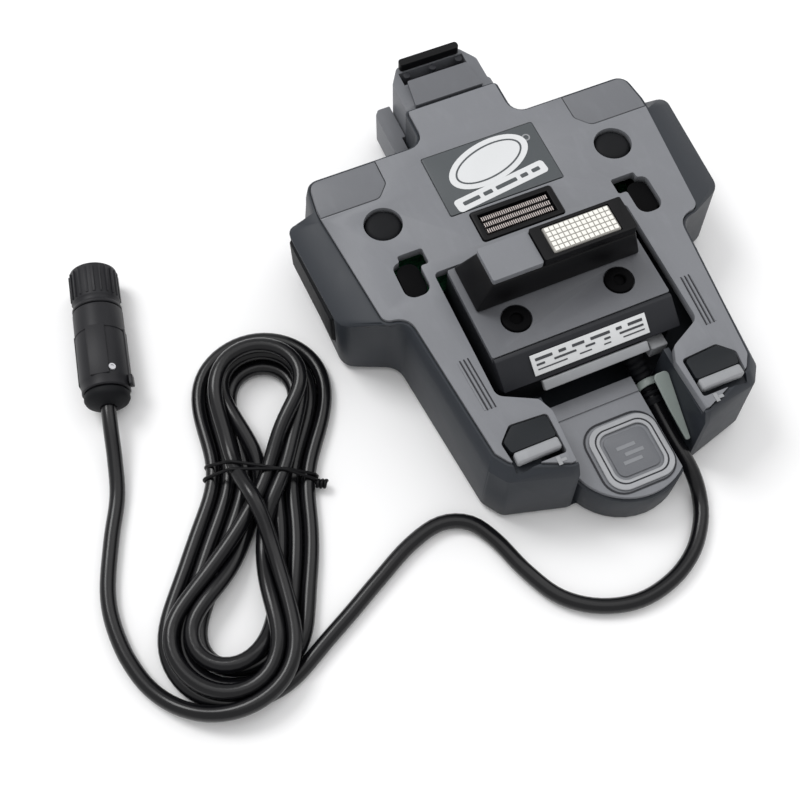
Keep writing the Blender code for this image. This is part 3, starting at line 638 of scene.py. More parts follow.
@dataclass
class Lead:
    """The lead from its strain relief through the tied hank to the plug.

    Attributes:
        radius: Half the lead's thickness.
        step: Distance between the points of its centreline.
        length: Its length in metres; not used.
        relief: The strain relief's middle line.
        arriving: The route from the strain relief to the hank.
        leaving: The route from the hank to the plug.
        upper_end: Middle of the hank's end near the latch.
        lower_end: Middle of its other end.
        tie_share: Where the tie is, as a share of the way between the two.
        upper_inset: How far past the upper end its round ends have their middle.
        last_end: Radius and height of the lower fold into the last turn.
        turns: The hank's turns, the lowest one first.
        stations: Shares of the way between the ends at which a side's places are given.
        shifts: How far the hank's middle lies to its right at the upper end, the stations and the lower end.
        crossing: Where the last turn crosses itself, as a share of the way, its step to the left and the
            height of its lower side.
        widened_by: Angle by which a fold has its new radius, in degrees.
        climbed_by: Angle over which it climbs, in degrees.
        climbed_first: Share of the climb that it starts with.
        entry_angle: Where on the lower fold the arriving lead joins it, in degrees.
        exit_angle: Where it leaves the hank.
        exit_growth: How much wider the fold is there.
        exit_heights: Its height at the start of the exit and the drop over the last part of it.
        exit_drop_share: That part, as a share of the exit.
        settle_rounds: Rounds of pushing the turns apart.
        push: Share of an overlap that one round takes away.
        fairing: Shares by which each round smooths the line and then swells it back.
        span: Steps from a point to the neighbours that limit its bend.
        tightest: How far a point may lie off the line between those.
        loose: Points of the arriving and leaving routes that move with the hank.
    """

    radius: float = 2.9
    step: float = 2.9
    length: float = 2.02
    relief: list = field(default_factory=lambda: [
        (18.0, -47.4, 22.5), (18.6, -52.0, 20.6), (19.5, -58.0, 17.4), (20.1, -64.0, 14.6),
        (20.3, -69.4, 12.9)])
    arriving: list = field(default_factory=lambda: [
        (18.0, -48.6, 22.1), (18.6, -52.0, 20.6), (19.5, -58.0, 17.4), (20.1, -64.0, 14.6),
        (20.3, -69.8, 12.8), (20.5, -76.0, 11.4), (20.8, -84.0, 10.0), (21.4, -91.0, 9.0),
        (22.0, -99.0, 6.6), (20.8, -107.5, 3.5), (16.5, -116.0, 3.0), (8.0, -125.0, 3.0),
        (-4.0, -131.2, 3.0), (-18.4, -133.3, 3.0), (-32.9, -129.4, 3.0), (-44.5, -120.5, 3.0),
        (-51.7, -106.9, 3.0), (-56.8, -92.0, 3.0), (-63.0, -82.2, 3.0), (-73.5, -78.4, 3.0),
        (-87.0, -81.7, 3.0), (-102.0, -89.2, 3.0), (-117.0, -97.2, 3.0), (-128.0, -103.0, 3.0)])
    leaving: list = field(default_factory=lambda: [
        (-186.0, -102.0, 3.0), (-192.8, -90.2, 3.0), (-196.0, -74.0, 3.0), (-195.0, -57.0, 3.0),
        (-188.0, -37.5, 3.0), (-180.8, -21.5, 3.2), (-177.2, -8.5, 5.5), (-174.6, 3.0, 8.6),
        (-173.2, 9.6, 9.7), (-172.6, 12.2, 9.9), (-171.9, 16.0, 9.9)])
    upper_end: tuple = (-116.5, 0.5)
    lower_end: tuple = (-157.5, -87.0)
    tie_share: float = 0.38
    upper_inset: float = 2.5
    last_end: tuple = (21.9, 8.5)
    turns: list = field(default_factory=lambda: [
        Turn((24.7, 3.0), ((22.6, 3.0), (17.8, 3.0), (21.6, 3.0), (23.6, 3.0)),
             ((22.6, 3.0), (17.8, 3.0), (21.6, 3.0), (23.6, 3.0))),
        Turn((18.9, 3.0), ((16.8, 3.0), (11.9, 3.0), (15.8, 3.0), (17.8, 3.0)),
             ((16.8, 3.0), (11.9, 3.0), (15.8, 3.0), (17.8, 3.0))),
        Turn((13.1, 3.0), ((11.0, 3.0), (6.0, 3.0), (10.0, 3.0), (12.0, 3.0)),
             ((11.0, 3.0), (6.0, 3.0), (10.0, 3.0), (12.0, 3.3))),
        Turn((16.0, 8.3), ((10.0, 8.3), (0.8, 3.8), (4.6, 3.6), (11.0, 8.2)),
             ((13.9, 8.2), (8.9, 8.2), (4.0, 4.4), (11.0, 8.2))),
        Turn((16.4, 14.0), ((-10.0, 12.6), (-3.0, 8.5), (7.1, 8.4), (14.9, 8.2)),
             ((-14.2, 11.2), (-8.9, 9.8), (6.9, 9.9), (15.6, 8.6)), 14.2)])
    stations: tuple = (0.16, 0.38, 0.66, 0.86)
    shifts: tuple = (1.5, 2.6, 4.4, 4.0, 2.0, 0.6)
    crossing: tuple = (0.5, 0.8, 8.7)
    widened_by: float = 70.0
    climbed_by: float = 42.0
    climbed_first: float = 0.15
    entry_angle: float = 62.0
    exit_angle: float = 109.0
    exit_growth: float = 8.4
    exit_heights: tuple = (9.0, 3.6)
    exit_drop_share: float = 0.3
    settle_rounds: int = 130
    push: float = 0.3
    fairing: tuple = (0.5, -0.51)
    span: int = 3
    tightest: float = 2.55
    loose: tuple = (8, 6)

    def at(self, along: float, across: float, height: float) -> tuple:
        """Return the point of the hank that far along it from its upper end and to its right."""
        first, last = Vector(self.upper_end), Vector(self.lower_end)
        run = (last - first).normalized()
        place = first + run * along + Vector((-run.y, run.x)) * across
        return (place.x, place.y, height)

    def reach(self) -> float:
        """Return the distance between the hank's two ends."""
        return (Vector(self.lower_end) - Vector(self.upper_end)).length

    def strand(self, turn: Turn, side: int) -> list:
        """Return a long side of a turn from the lower end up: the left (-1) or the right one (1)."""
        sides = turn.left if side < 0 else turn.right
        points = [self.at(self.reach() * u, side * half + shift, height)
                  for u, shift, (half, height) in zip(self.stations, self.shifts[1:], sides)]
        if turn.bridge:
            share, aside, under = self.crossing
            height = turn.bridge if side > 0 else under
            points.insert(2, self.at(self.reach() * share, self.shifts[2] - aside, height))
        return points[::-1]

    def fold(self, low: tuple, high: tuple, first: float = 0.0) -> list:
        """Return a turn's lower end, from its right to its left.

        Args:
            low: Radius and height where it starts.
            high: Radius and height where it ends.
            first: Angle at which it starts, in degrees.

        Returns:
            Its points.
        """
        points, steps = [], 8
        climbs_over = high[1] > low[1] + 1
        for k in range(steps + 1):
            angle = first + (180.0 - first) * k / steps
            early = min(1.0, angle / self.widened_by)
            widened = max(0.0, angle / 90 - 1.0) if climbs_over else early * early * (3 - 2 * early)
            radius = low[0] + (high[0] - low[0]) * widened
            climbed = min(1.0, angle / self.climbed_by + self.climbed_first)
            height = low[1] + (high[1] - low[1]) * climbed
            points.append(self.low_arc(radius, math.radians(angle), height))
        return points

    def low_arc(self, radius: float, angle: float, height: float) -> tuple:
        """Return a point round the lower end's middle."""
        across = radius * math.cos(angle) + self.shifts[-1]
        return self.at(self.reach() + radius * math.sin(angle), across, height)

    def wound(self) -> list:
        """Return the hank's route, five turns that each pass from its right to its left at the lower end."""
        route = self.fold(self.turns[0].end, self.turns[0].end, self.entry_angle)
        for turn, following in zip(self.turns, [*self.turns[1:], None]):
            crossed = -1.0 if turn.bridge else 1.0
            radius, height = turn.end
            route += self.strand(turn, -1)
            for angle in (math.pi * k / 8 for k in range(9)):
                route.append(self.at(self.upper_inset - radius * math.sin(angle),
                                     -radius * math.cos(angle) * crossed + self.shifts[0], height))
            route += self.strand(turn, 1)[::-1]
            if following:
                lift = 0.4 if following.bridge else 0.0
                end = self.last_end if following.bridge else following.end
                route += self.fold((radius, height + 0.3), (end[0], end[1] + lift))
        height, drop = self.exit_heights
        for t in (k / 6 for k in range(1, 7)):
            dropped = max(0.0, (t - (1 - self.exit_drop_share)) / self.exit_drop_share)
            route.append(self.low_arc(self.last_end[0] + self.exit_growth * t,
                                      math.radians(self.exit_angle) * t, height - drop * dropped))
        return route

    def settled(self, points: np.ndarray, free: np.ndarray) -> np.ndarray:
        """Let the hank's turns push each other apart and drop onto the floor and each other.

        Args:
            points: The lead's centreline, evenly spaced, in millimetres.
            free: True for the points that may move.

        Returns:
            The settled centreline.
        """
        thick, count, span = 2 * self.radius, len(points), self.span
        far = np.abs(np.arange(count)[:, None] - np.arange(count)[None, :]) > 5
        weight = free.astype(float)[:, None]
        line = points.copy()
        for _ in range(self.settle_rounds):
            gap = line[:, None, :] - line[None, :, :]
            reach = np.sqrt((gap ** 2).sum(2)) + 1e-9
            apart = np.where(far & (reach < thick), (thick - reach) / reach, 0.0)[:, :, None] * gap
            line += self.push * apart.sum(1) * weight
            for share in self.fairing:
                middle = (line[:-2] + line[2:]) / 2 - line[1:-1]
                line[1:-1] += share * middle * weight[1:-1]
            sag = (line[:-2 * span] + line[2 * span:]) / 2 - line[span:-span]
            size = np.linalg.norm(sag, axis=1, keepdims=True) + 1e-9
            line[span:-span] += 0.5 * sag * np.clip(1 - self.tightest / size, 0, 1) * weight[span:-span]
            line[:, 2] = np.where(free, np.maximum(line[:, 2], self.radius + 0.05), line[:, 2])
        return line

    def build(self) -> tuple:
        """Build the strain relief, the lead and its tie.

        Returns:
            The lead's curve object and the tie's pieces.
        """
        head = smooth_route(self.arriving, self.step)
        middle = smooth_route([self.arriving[-1], *self.wound(), self.leaving[0]], self.step)
        tail = smooth_route(self.leaving, self.step)
        line = np.concatenate([head[:-1], middle[:-1], tail])
        free = np.zeros(len(line), bool)
        free[len(head) - self.loose[0]:len(head) + len(middle) + self.loose[1]] = True
        line = self.settled(line, free)
        curve = bpy.data.curves.new("lead", "CURVE")
        curve.dimensions = "3D"
        curve.bevel_depth = self.radius * MM
        curve.bevel_resolution = 5
        curve.use_fill_caps = True
        curve.materials.append(Finish.JACKET.material())
        spline = curve.splines.new("POLY")
        spline.points.add(len(line) - 1)
        for point, place in zip(spline.points, line):
            point.co = (*[value * MM for value in place], 1.0)
        spline.use_smooth = True
        lead = bpy.data.objects.new("lead", curve)
        bpy.context.scene.collection.objects.link(lead)
        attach(lead, ROOT)
        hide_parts("cord_lead", "cord_hank", "cord_tail")
        LOG.info("lead: %.3f m", np.linalg.norm(np.diff(line, axis=0), axis=1).sum() * MM)
        Sleeve(self.relief).build()
        return lead, Tie(self).build(line)

    def declare(self, pieces: list) -> None:
        """Work out the lead's thickness, and nothing more."""
        2 * self.radius * MM


@dataclass
class Sleeve:
    """The ribbed strain relief round the lead's first stretch.

    Attributes:
        route: Its middle line.
        step: Distance between its points.
        thick: Its radius at the cradle.
        taper: How much thinner it is at its end.
        rib_depth: Depth of the grooves between its ribs.
        rib_points: Points from one rib to the next.
        plain: Points without a rib at its start and its end.
    """

    route: list
    step: float = 0.42
    thick: float = 4.5
    taper: float = 1.25
    rib_depth: float = 0.75
    rib_points: int = 6
    plain: tuple = (5, 3)

    def build(self) -> None:
        """Build the sleeve."""
        points = smooth_route(self.route, self.step)
        count, radii = len(points) - 1, []
        for i in range(count + 1):
            rib = 0.5 + 0.5 * math.cos(2 * math.pi * i / self.rib_points)
            ribbed = self.plain[0] <= i <= count - self.plain[1]
            groove = self.rib_depth * (1 - rib ** 0.6) if ribbed else 0.0
            radii.append(self.thick - self.taper * i / count - groove)
        sleeve = tube("strain_sleeve", Finish.RUBBER, points, radii, 6)
        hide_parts("strain_relief")


@dataclass
class Tie:
    """The wire tie round the hank, close to the turns that it holds.

    Attributes:
        lead: The lead that it holds.
        wires: Each round's name, its step along the hank and how far it leans.
        wire: The wire's radius.
        clearance: Gap between the lead's surface and the wire's middle.
        widest: Turns further than this from the hank's middle aren't held.
        step: Distance between the points of each round.
        twist_wire: Radius of the twisted ends.
        twist: Radius and length of the twist.
        twist_steps: Steps along it.
    """

    lead: Lead
    wires: tuple = (("tie_wire", -1.1, 2.2), ("tie_wire_return", 1.1, -2.0))
    wire: float = 0.62
    clearance: float = 0.55
    widest: float = 32.0
    step: float = 1.5
    twist_wire: float = 0.7
    twist: tuple = (1.3, 3.5)
    twist_steps: int = 24

    def girth(self, line: np.ndarray, level: float) -> list:
        """Return the loop round the turns at a level, as distances across and heights."""
        first, last = np.array(self.lead.upper_end), np.array(self.lead.lower_end)
        run = (last - first) / np.linalg.norm(last - first)
        side = np.array([-run[1], run[0]])
        u, v = (line[:, :2] - first) @ run, (line[:, :2] - first) @ side
        crossing = [(v[i], line[i, 2]) for i in range(len(line) - 1)
                    if (u[i] - level) * (u[i + 1] - level) <= 0 and abs(v[i]) < self.widest]
        clear = self.lead.radius + self.clearance
        hull = convex([(x + clear * math.cos(a), z + clear * math.sin(a))
                       for x, z in crossing for a in (2 * math.pi * k / 20 for k in range(20))])
        points = []
        for (x0, z0), (x1, z1) in zip(hull, hull[1:] + hull[:1]):
            count = max(1, round(math.hypot(x1 - x0, z1 - z0) / self.step))
            points += [(x0 + (x1 - x0) * k / count, z0 + (z1 - z0) * k / count) for k in range(count)]
        return points

    def build(self, line: np.ndarray) -> list:
        """Build the tie.

        Args:
            line: The lead's settled centreline.

        Returns:
            Its pieces.
        """
        level = self.lead.reach() * self.lead.tie_share
        points, pieces = self.girth(line, level), []
        for name, offset, lean in self.wires:
            loop = [self.lead.at(level + (offset + lean * x / 25), x, max(z, self.wire - 0.02))
                    for x, z in points + points[:2]]
            pieces.append(tube(name, Finish.BLACK, loop, [self.wire] * len(loop)))
        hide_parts("cord_tie")
        across, height = max(points)
        (radius, length), knot = self.twist, []
        for t in (k / self.twist_steps for k in range(self.twist_steps + 1)):
            angle = 5 * math.pi * t
            knot.append(self.lead.at(level + 2.2 + radius * math.cos(angle), across + 0.3 + length * t,
                                     height + radius * math.sin(angle) + 0.5))
        return [*pieces, tube("tie_twist", Finish.BLACK, knot, [self.twist_wire] * len(knot))]


def convex(points: list) -> list:
    """Return the outer loop of flat points, anticlockwise."""
    ordered = sorted(set(points))

    def half(sequence: list) -> list:
        chain = []
        for p in sequence:
            while len(chain) > 1 and ((chain[-1][0] - chain[-2][0]) * (p[1] - chain[-2][1])
                                      - (chain[-1][1] - chain[-2][1]) * (p[0] - chain[-2][0])) <= 0:
                chain.pop()
            chain.append(p)
        return chain[:-1]

    return half(ordered) + half(ordered[::-1])


@dataclass
class Plug:
    """The round in-line plug with its boot, knurled coupling ring and contacts."""

    rear: tuple = (-172.6, 12.2, 9.9)
    direction: tuple = (0.186, 0.9825, 0.0)
    ribs: int = 22
    pins: int = 4
    pieces: list = field(default_factory=list)

    def axis(self) -> Vector:
        """Return the direction from the lead to the plug's mouth."""
        return Vector(self.direction).normalized()

    def place(self, along: float, angle: float, radius: float) -> tuple:
        """Return a point that far along the plug's axis, at an angle in degrees round it."""
        axis, turn = self.axis(), math.radians(angle)
        side = Vector((axis.y, -axis.x, 0.0))
        return tuple(Vector(self.rear) + axis * along + side * radius * math.cos(turn)
                     + UP * radius * math.sin(turn))

    def normal(self, angle: float) -> Vector:
        """Return the direction out of the plug at an angle in degrees round it."""
        return Vector(self.place(0, angle, 1)) - Vector(self.place(0, angle, 0))

    def block(self, work: bmesh.types.BMesh, spot: tuple, size: tuple, tilt: float, edge: float) -> None:
        """Add a block with rounded edges to the plug's side.

        Args:
            work: The bmesh that it joins.
            spot: How far along the axis its middle is, the angle round it and the radius.
            size: Its width, its length along the axis and its height.
            tilt: Its turn round the axis, in degrees.
            edge: Width of the rounding.
        """
        axis = self.axis()
        along = axis.to_track_quat("Y", "Z").to_matrix().to_4x4()
        turn = Matrix.Rotation(math.radians(tilt), 4, axis) @ along
        place = Matrix.Translation(Vector(self.place(*spot)) * MM) @ turn
        cube = bmesh.ops.create_cube(work, size=1.0, matrix=place @ stretched(size))
        edges = list(dict.fromkeys(line for corner in cube["verts"] for line in corner.link_edges))
        bmesh.ops.bevel(work, geom=edges, offset=edge * MM, segments=2, affect="EDGES", profile=0.5)

    def build(self) -> list:
        """Build the plug's pieces.

        Returns:
            The pieces on the lead.
        """
        boot = [(0.0, 5.6), (8.2, 5.6), (8.7, 5.0), (8.8, 3.4), (8.2, 2.2), (7.0, 1.4), (5.4, 0.7),
                (4.4, 0.2), (3.1, 0.0), (3.1, 2.0), (0.0, 2.0)]
        body = [(0.0, 60.4), (6.0, 60.4), (6.4, 60.0), (6.4, 42.3), (9.3, 42.3), (9.7, 41.9), (9.8, 41.2),
                (9.8, 31.2), (9.5, 31.0), (9.5, 30.5), (9.8, 30.3), (9.8, 11.0), (9.6, 9.6), (9.3, 8.6),
                (9.3, 6.4), (8.9, 5.9), (0.0, 5.9)]
        for name, profile, finish, node in (("plug_boot", boot, Finish.RUBBER, "connector_boot"),
                                            ("plug_body", body, Finish.PLUG, "connector_body")):
            piece = turned(name, finish, profile, self.rear, self.axis())
            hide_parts(node)
            self.pieces.append(piece)
        self.flats()
        self.ring()
        self.contacts()
        return self.pieces

    def flats(self) -> None:
        """Build the raised panels, the catch and the set screw on the body."""
        work = bmesh.new()
        for angle, wide in ((90, 7.4), (0, 5.0), (180, 5.0)):
            self.block(work, (21.0, angle, 9.45), (wide, 22.0, 0.9), angle - 90, 0.35)
        self.block(work, (9.0, 8, 10.3), (1.6, 4.2, 4.0), 0, 0.4)
        panels = smooth(added("plug_panels", closed_mesh("plug_panels", work), Finish.PLUG), 35)
        head = [(0.0, 0.8), (0.7, 0.8), (0.7, 1.1), (1.3, 1.1), (1.5, 0.8), (1.5, -0.4), (0.0, -0.4)]
        place, out = self.place(12.5, 62, 9.4), self.normal(62)
        self.pieces += [panels, turned("plug_screw", Finish.STEEL, head, place, out, steps=24)]

    def ring(self) -> None:
        """Build the coupling ring with its grip ribs."""
        profile = [(6.8, 61.4), (8.7, 61.4), (9.2, 61.0), (9.4, 60.2), (9.4, 47.0), (9.2, 46.4), (9.0, 46.0),
                   (9.0, 44.6), (9.5, 44.2), (9.7, 43.8), (9.7, 43.0), (9.4, 42.7), (6.8, 42.7), (6.8, 61.4)]
        ring = turned("plug_ring", Finish.PLUG, profile, self.rear, self.axis(), COUPLING)
        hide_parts("coupling_ring")
        work = bmesh.new()
        for angle in (360 * i / self.ribs for i in range(self.ribs)):
            self.block(work, (53.6, angle, 9.35), (1.3, 12.2, 0.7), angle - 90, 0.2)
        ribs = smooth(added("plug_ribs", closed_mesh("plug_ribs", work), Finish.PLUG, COUPLING), 35)
        self.pieces += [ring, ribs]

    def contacts(self) -> None:
        """Build the insulator in the plug's mouth and its pins."""
        face = [(0.0, 61.8), (5.5, 61.8), (5.9, 61.5), (5.9, 60.7), (0.0, 60.7)]
        insert = turned("plug_face", Finish.SLATE, face, self.rear, self.axis())
        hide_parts("connector_face")
        work = bmesh.new()
        turn = self.axis().to_track_quat("Z", "X").to_matrix().to_4x4()
        for i in range(self.pins):
            spot = Matrix.Translation(Vector(self.place(62.0, 45 + 360 / self.pins * i, 3.2)) * MM) @ turn
            bmesh.ops.create_cone(work, cap_ends=True, segments=16, radius1=0.8 * MM, radius2=0.6 * MM,
                                  depth=0.9 * MM, matrix=spot)
        pins = smooth(added("plug_pins", closed_mesh("plug_pins", work), Finish.PINS), 35)
        self.pieces += [insert, pins]


# ---------------------------------------------------------------- cradle

@dataclass
class Housing:
    """The dark lower shell with its feet, side grips and inner board."""

    def build(self) -> None:
        """Dress the shell and what is fixed to it."""
        carried("lower_shell", Finish.SHELL, 0.5)
        for side in ("left", "right"):
            carried(f"side_grip_{side}", Finish.RUBBER, 0.3)
            for end in ("front", "rear"):
                carried(f"foot_{end}_{side}", Finish.RUBBER, 0.4)
        carried("circuit_board", Finish.BOARD, 0.2)


@dataclass
class Cover:
    """The light cover with its seams, pads, bumpers, grip grooves and plate."""

    top: float = 38.0
    groove_x: tuple = (44.6, 46.2, 47.8)
    groove_y: tuple = (-57.0, -35.0)
    groove_lean: float = 3.2
    oval_turn: float = 14.0
    band_turn: float = 7.0

    def build(self) -> None:
        """Dress the cover and build its small pieces."""
        carried("top_cover", Finish.COVER, 0.25)
        for side in ("left", "right"):
            # The corner pads' darker gray is painted shade.
            carried(f"corner_pad_{side}", Finish.PAD, 0.3)
            self.bumper(side)
            carried(f"slot_pad_{side}", Finish.DEEP, 0.3)
        self.grooves()
        self.label()

    def bumper(self, side: str) -> None:
        """Build a domed rubber bumper in its ring."""
        x, y, _ = centre_of(f"bumper_{side}")
        profile = [(0.0, 37.5), (3.0, 37.45), (5.4, 37.2), (6.6, 36.7), (7.15, 35.9), (7.3, 34.8),
                   (7.3, 30.6), (0.0, 30.6)]
        piece = turned(f"bumper_dome_{side}", Finish.RUBBER, profile, (x, y, 0.0), crease=50)
        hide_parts(f"bumper_{side}")

    def grooves(self) -> None:
        """Build the three slim grip ribs on each side, with dark insets between light rails: painted groove
        shade.
        """
        low, high = self.groove_y
        middle, deep = (low + high) / 2, high - low
        for side, name in ((-1, "left"), (1, "right")):
            lean = -side * self.groove_lean
            # Dark strips just below the rails' tops, not cut into the cover: painted shade of the grooves.
            lines = [((side * (x - 1.0), middle, self.top + 0.02), (0.55, deep, 0.16), lean)
                     for x in self.groove_x]
            rails = [((side * (x - 0.2), middle - 0.2, self.top + 0.08), (0.7, deep - 1.0, 0.3), lean)
                     for x in self.groove_x]
            blocks(f"grip_groove_shade_{name}", Finish.SLATE, lines, 0.05)
            blocks(f"grip_rails_{name}", Finish.COVER, rails, 0.12)

    def label(self) -> None:
        """Dress the gray plate and build its oval, band and dot of generic marks."""
        carried("label_plate", Finish.PLATE, 0.15)
        middle, top = centre_of("label_plate"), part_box("label_plate")[1].z / MM
        film = top + 0.02
        spot = (middle.x + 0.2, middle.y + 3.4)
        oval = [ellipse(spot, (18.6, 9.7), self.oval_turn)]
        plate("plate_oval", Finish.WHITE, oval, film, top + 0.16, 0.03)
        rim = [ellipse(spot, radii, self.oval_turn) for radii in ((15.8, 7.4), (15.0, 6.7))]
        plate("plate_oval_line", Finish.PLATE, rim, top + 0.16, top + 0.24)
        turn = (Matrix.Translation(Vector((middle.x - 0.2, middle.y - 9.4, 0.0)) * MM)
                @ Matrix.Rotation(math.radians(self.band_turn), 4, "Z"))
        band = fillet(rectangle((-20.6, -3.1), (20.6, 3.1), 1.6))
        plate("plate_band", Finish.WHITE, [band], film, top + 0.14, 0.03, turn)
        bars = [fillet(rectangle((x, -0.9), (x + wide, 0.9), 0.4), 2)
                for x, wide in ((-17.5, 7.5), (-8.2, 4.0), (-2.4, 9.5), (9.0, 3.2), (14.2, 3.6))]
        plate("plate_bars", Finish.PLATE, bars, top + 0.14, top + 0.2, 0.0, turn)
        dot = [ellipse((middle.x + 19.0, middle.y + 8.4), (radius, radius)) for radius in (1.7, 1.1)]
        plate("plate_dot", Finish.PALE, dot, film, top + 0.12)


@dataclass
class CombConnector:
    """The long connector under the plate, with rows of fine contacts."""

    rows: tuple = (12.4, 15.3, 18.2)
    pitch: float = 0.85
    margin: float = 0.8
    blade: tuple = (0.42, 1.9, 1.7)
    blade_z: float = 37.0

    def build(self) -> None:
        """Dress the housing and build the contact blades."""
        carried("comb_housing", Finish.BLACK, 0.3)
        low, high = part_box("comb_contacts")
        carried("comb_contacts", Finish.SLATE, 0.1)
        x0, x1 = low.x / MM + self.margin, high.x / MM - self.margin
        count = int((x1 - x0) / self.pitch)
        boxes = [((x0 + (x1 - x0) * i / count, y, self.blade_z), self.blade, 0.0)
                 for y in self.rows for i in range(count + 1)]
        blocks("comb_blades", Finish.PINS, boxes, 0.08)
        LOG.info("comb: %d blades", len(boxes))


@dataclass
class Module:
    """The connector module: shelf, screws, sloped front with its label and strip.

    Attributes:
        slope: How far the label leans back.
        print_width: Length of each row of dashes.
        rows: Each row's place up the label, its height and its dashes' lengths.
    """

    slope: float = math.atan2(6.8, 9.9)
    print_width: float = 44.0
    rows: tuple = ((1.9, 1.1, (7.0, 3.0, 5.0, 8.0, 2.4, 6.0)), (-0.1, 0.8, (3.4, 9.0, 4.0, 2.6, 10.0)),
                   (-1.9, 0.5, (12.0, 5.0, 3.0, 9.0)))

    def build(self) -> None:
        """Dress the module and build its screws and label."""
        # The shelf's darker gray is painted shade of the docking block's shadow.
        for name, finish, width in (("module_body", Finish.SLATE, 0.4), ("module_shelf", Finish.SHELF, 0.25),
                                    ("module_strip", Finish.PALE, 0.35), ("cable_anchor", Finish.PALE, 0.6)):
            carried(name, finish, width)
        for side in ("left", "right"):
            self.screw(side)
        self.label()

    def screw(self, side: str) -> None:
        """Build a round black screw with a hollow socket."""
        middle, top = centre_of(f"module_screw_{side}"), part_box(f"module_screw_{side}")[1].z / MM
        steps = [(0.0, -1.4), (2.2, -1.4), (2.3, -0.3), (2.7, 0.0), (4.8, 0.0), (5.4, -0.3), (5.6, -0.8),
                 (5.6, -2.2), (0.0, -2.2)]
        profile = [(radius, top + step) for radius, step in steps]
        piece = turned(f"screw_cap_{side}", Finish.DEEP, profile, (middle.x, middle.y, 0.0))
        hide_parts(f"module_screw_{side}")

    def label(self) -> None:
        """Dress the sloped label and lay three rows of plain dashes on it."""
        carried("module_label", Finish.WHITE, 0.1)
        move = Matrix.Translation(centre_of("module_label") * MM) @ Matrix.Rotation(self.slope, 4, "X")
        outlines = []
        for y, tall, dashes in self.rows:
            x, gap = -self.print_width / 2, (self.print_width - sum(dashes)) / (len(dashes) - 1)
            for wide in dashes:
                outlines.append(fillet(rectangle((x, y - tall / 2), (x + wide, y + tall / 2), 0.2), 2))
                x += wide + gap
        plate("label_print", Finish.INK, outlines, 0.32, 0.40, 0.0, move)


@dataclass
class DockingBlock:
    """The raised block with its light insert, bezel and field of contacts."""

    pad_rows: int = 5
    pad_columns: int = 13
    cell_share: float = 0.80

    def build(self) -> None:
        """Dress the block and build its contact field."""
        for name, finish, width in (("docking_block", Finish.BLACK, 0.3),
                                    ("docking_insert", Finish.COVER, 0.25),
                                    ("contact_bezel", Finish.BLACK, 0.3), ("contact_pad", Finish.GROUT, 0.2)):
            carried(name, finish, width)
        low, high = (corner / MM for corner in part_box("contact_pad"))
        wide, deep = (high.x - low.x - 1.0) / self.pad_columns, (high.y - low.y - 0.8) / self.pad_rows
        size = (wide * self.cell_share, deep * self.cell_share, 0.36)
        places = [(low.x + 0.5 + (column + 0.5) * wide, low.y + 0.4 + (row + 0.5) * deep)
                  for row in range(self.pad_rows) for column in range(self.pad_columns)]
        boxes = [((x, y, high.z + 0.08), size, 0.0) for x, y in places]
        blocks("contact_cells", Finish.CELL, boxes, 0.1)


@dataclass
class Tongue:
    """The low front plate with its badge, and the light rail beside the lead."""

    rail_lean: float = 29.4

    def build(self) -> None:
        """Dress the tongue and build its badge and rail."""
        carried("front_cover", Finish.COVER, 0.3)
        carried("badge_centre", Finish.FIELD, 0.3)
        carried("cable_guide", Finish.GUIDE, 0.1)
        self.badge()
        self.rail()

    def badge(self) -> None:
        """Build the badge's rounded ring, the fine line in it (painted shade of its groove) and the fine line
        round it, and three plain raised bars.
        """
        low, high = (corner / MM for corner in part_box("badge_ring"))

        def frame_of(left: float, right: float, front: float, back: float, radius: float) -> list:
            return fillet(rectangle((low.x + left, low.y + front), (high.x - right, high.y - back), radius))

        rim = [frame_of(0.0, 0.0, 0.0, 0.0, 7.0), frame_of(3.7, 3.7, 3.7, 3.7, 4.2)]
        ring = smooth(plate("badge_rim", Finish.BADGE, rim, low.z, high.z, 0.42), 30)
        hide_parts("badge_ring")
        # A flush dark strip in the ring's top, not cut: painted groove shade.
        groove = [frame_of(1.9, 1.9, 1.9, 1.9, 5.6), frame_of(2.5, 2.5, 2.5, 2.5, 5.2)]
        plate("badge_groove", Finish.SLATE, groove, high.z - 0.2, high.z + 0.03)
        edge = [frame_of(-1.9, -0.6, -1.2, -1.6, 8.4), frame_of(-1.2, -0.2, -0.6, -0.9, 7.8)]
        plate("badge_line", Finish.SLATE, edge, low.z - 0.3, low.z + 0.05)
        middle, top = centre_of("badge_centre"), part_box("badge_centre")[1].z / MM
        bars = [((middle.x + x, middle.y + y, top + 0.08), (7.6, 1.5, 0.16), 0.0)
                for x, y in ((-1.2, 2.6), (0.8, -0.4), (-1.2, -3.4))]
        blocks("badge_mark", Finish.EMBOSS, bars, 0.07)

    def rail(self) -> None:
        """Build the light tapered strip that lies beside the lead."""
        outline = [(18.6, 27.4, 1.8), (24.9, 27.4, 1.8), (24.9, 0.0, 0.6), (23.0, 0.0, 0.8),
                   (20.6, 13.0, 2.0)]
        lean = (Matrix.Translation(Vector((0.0, -87.5, 14.2)) * MM)
                @ Matrix.Rotation(math.radians(self.rail_lean), 4, "X"))
        plate("lead_rail", Finish.GUIDE, [fillet(outline, 5)], 0.0, 1.1, 0.3, lean)


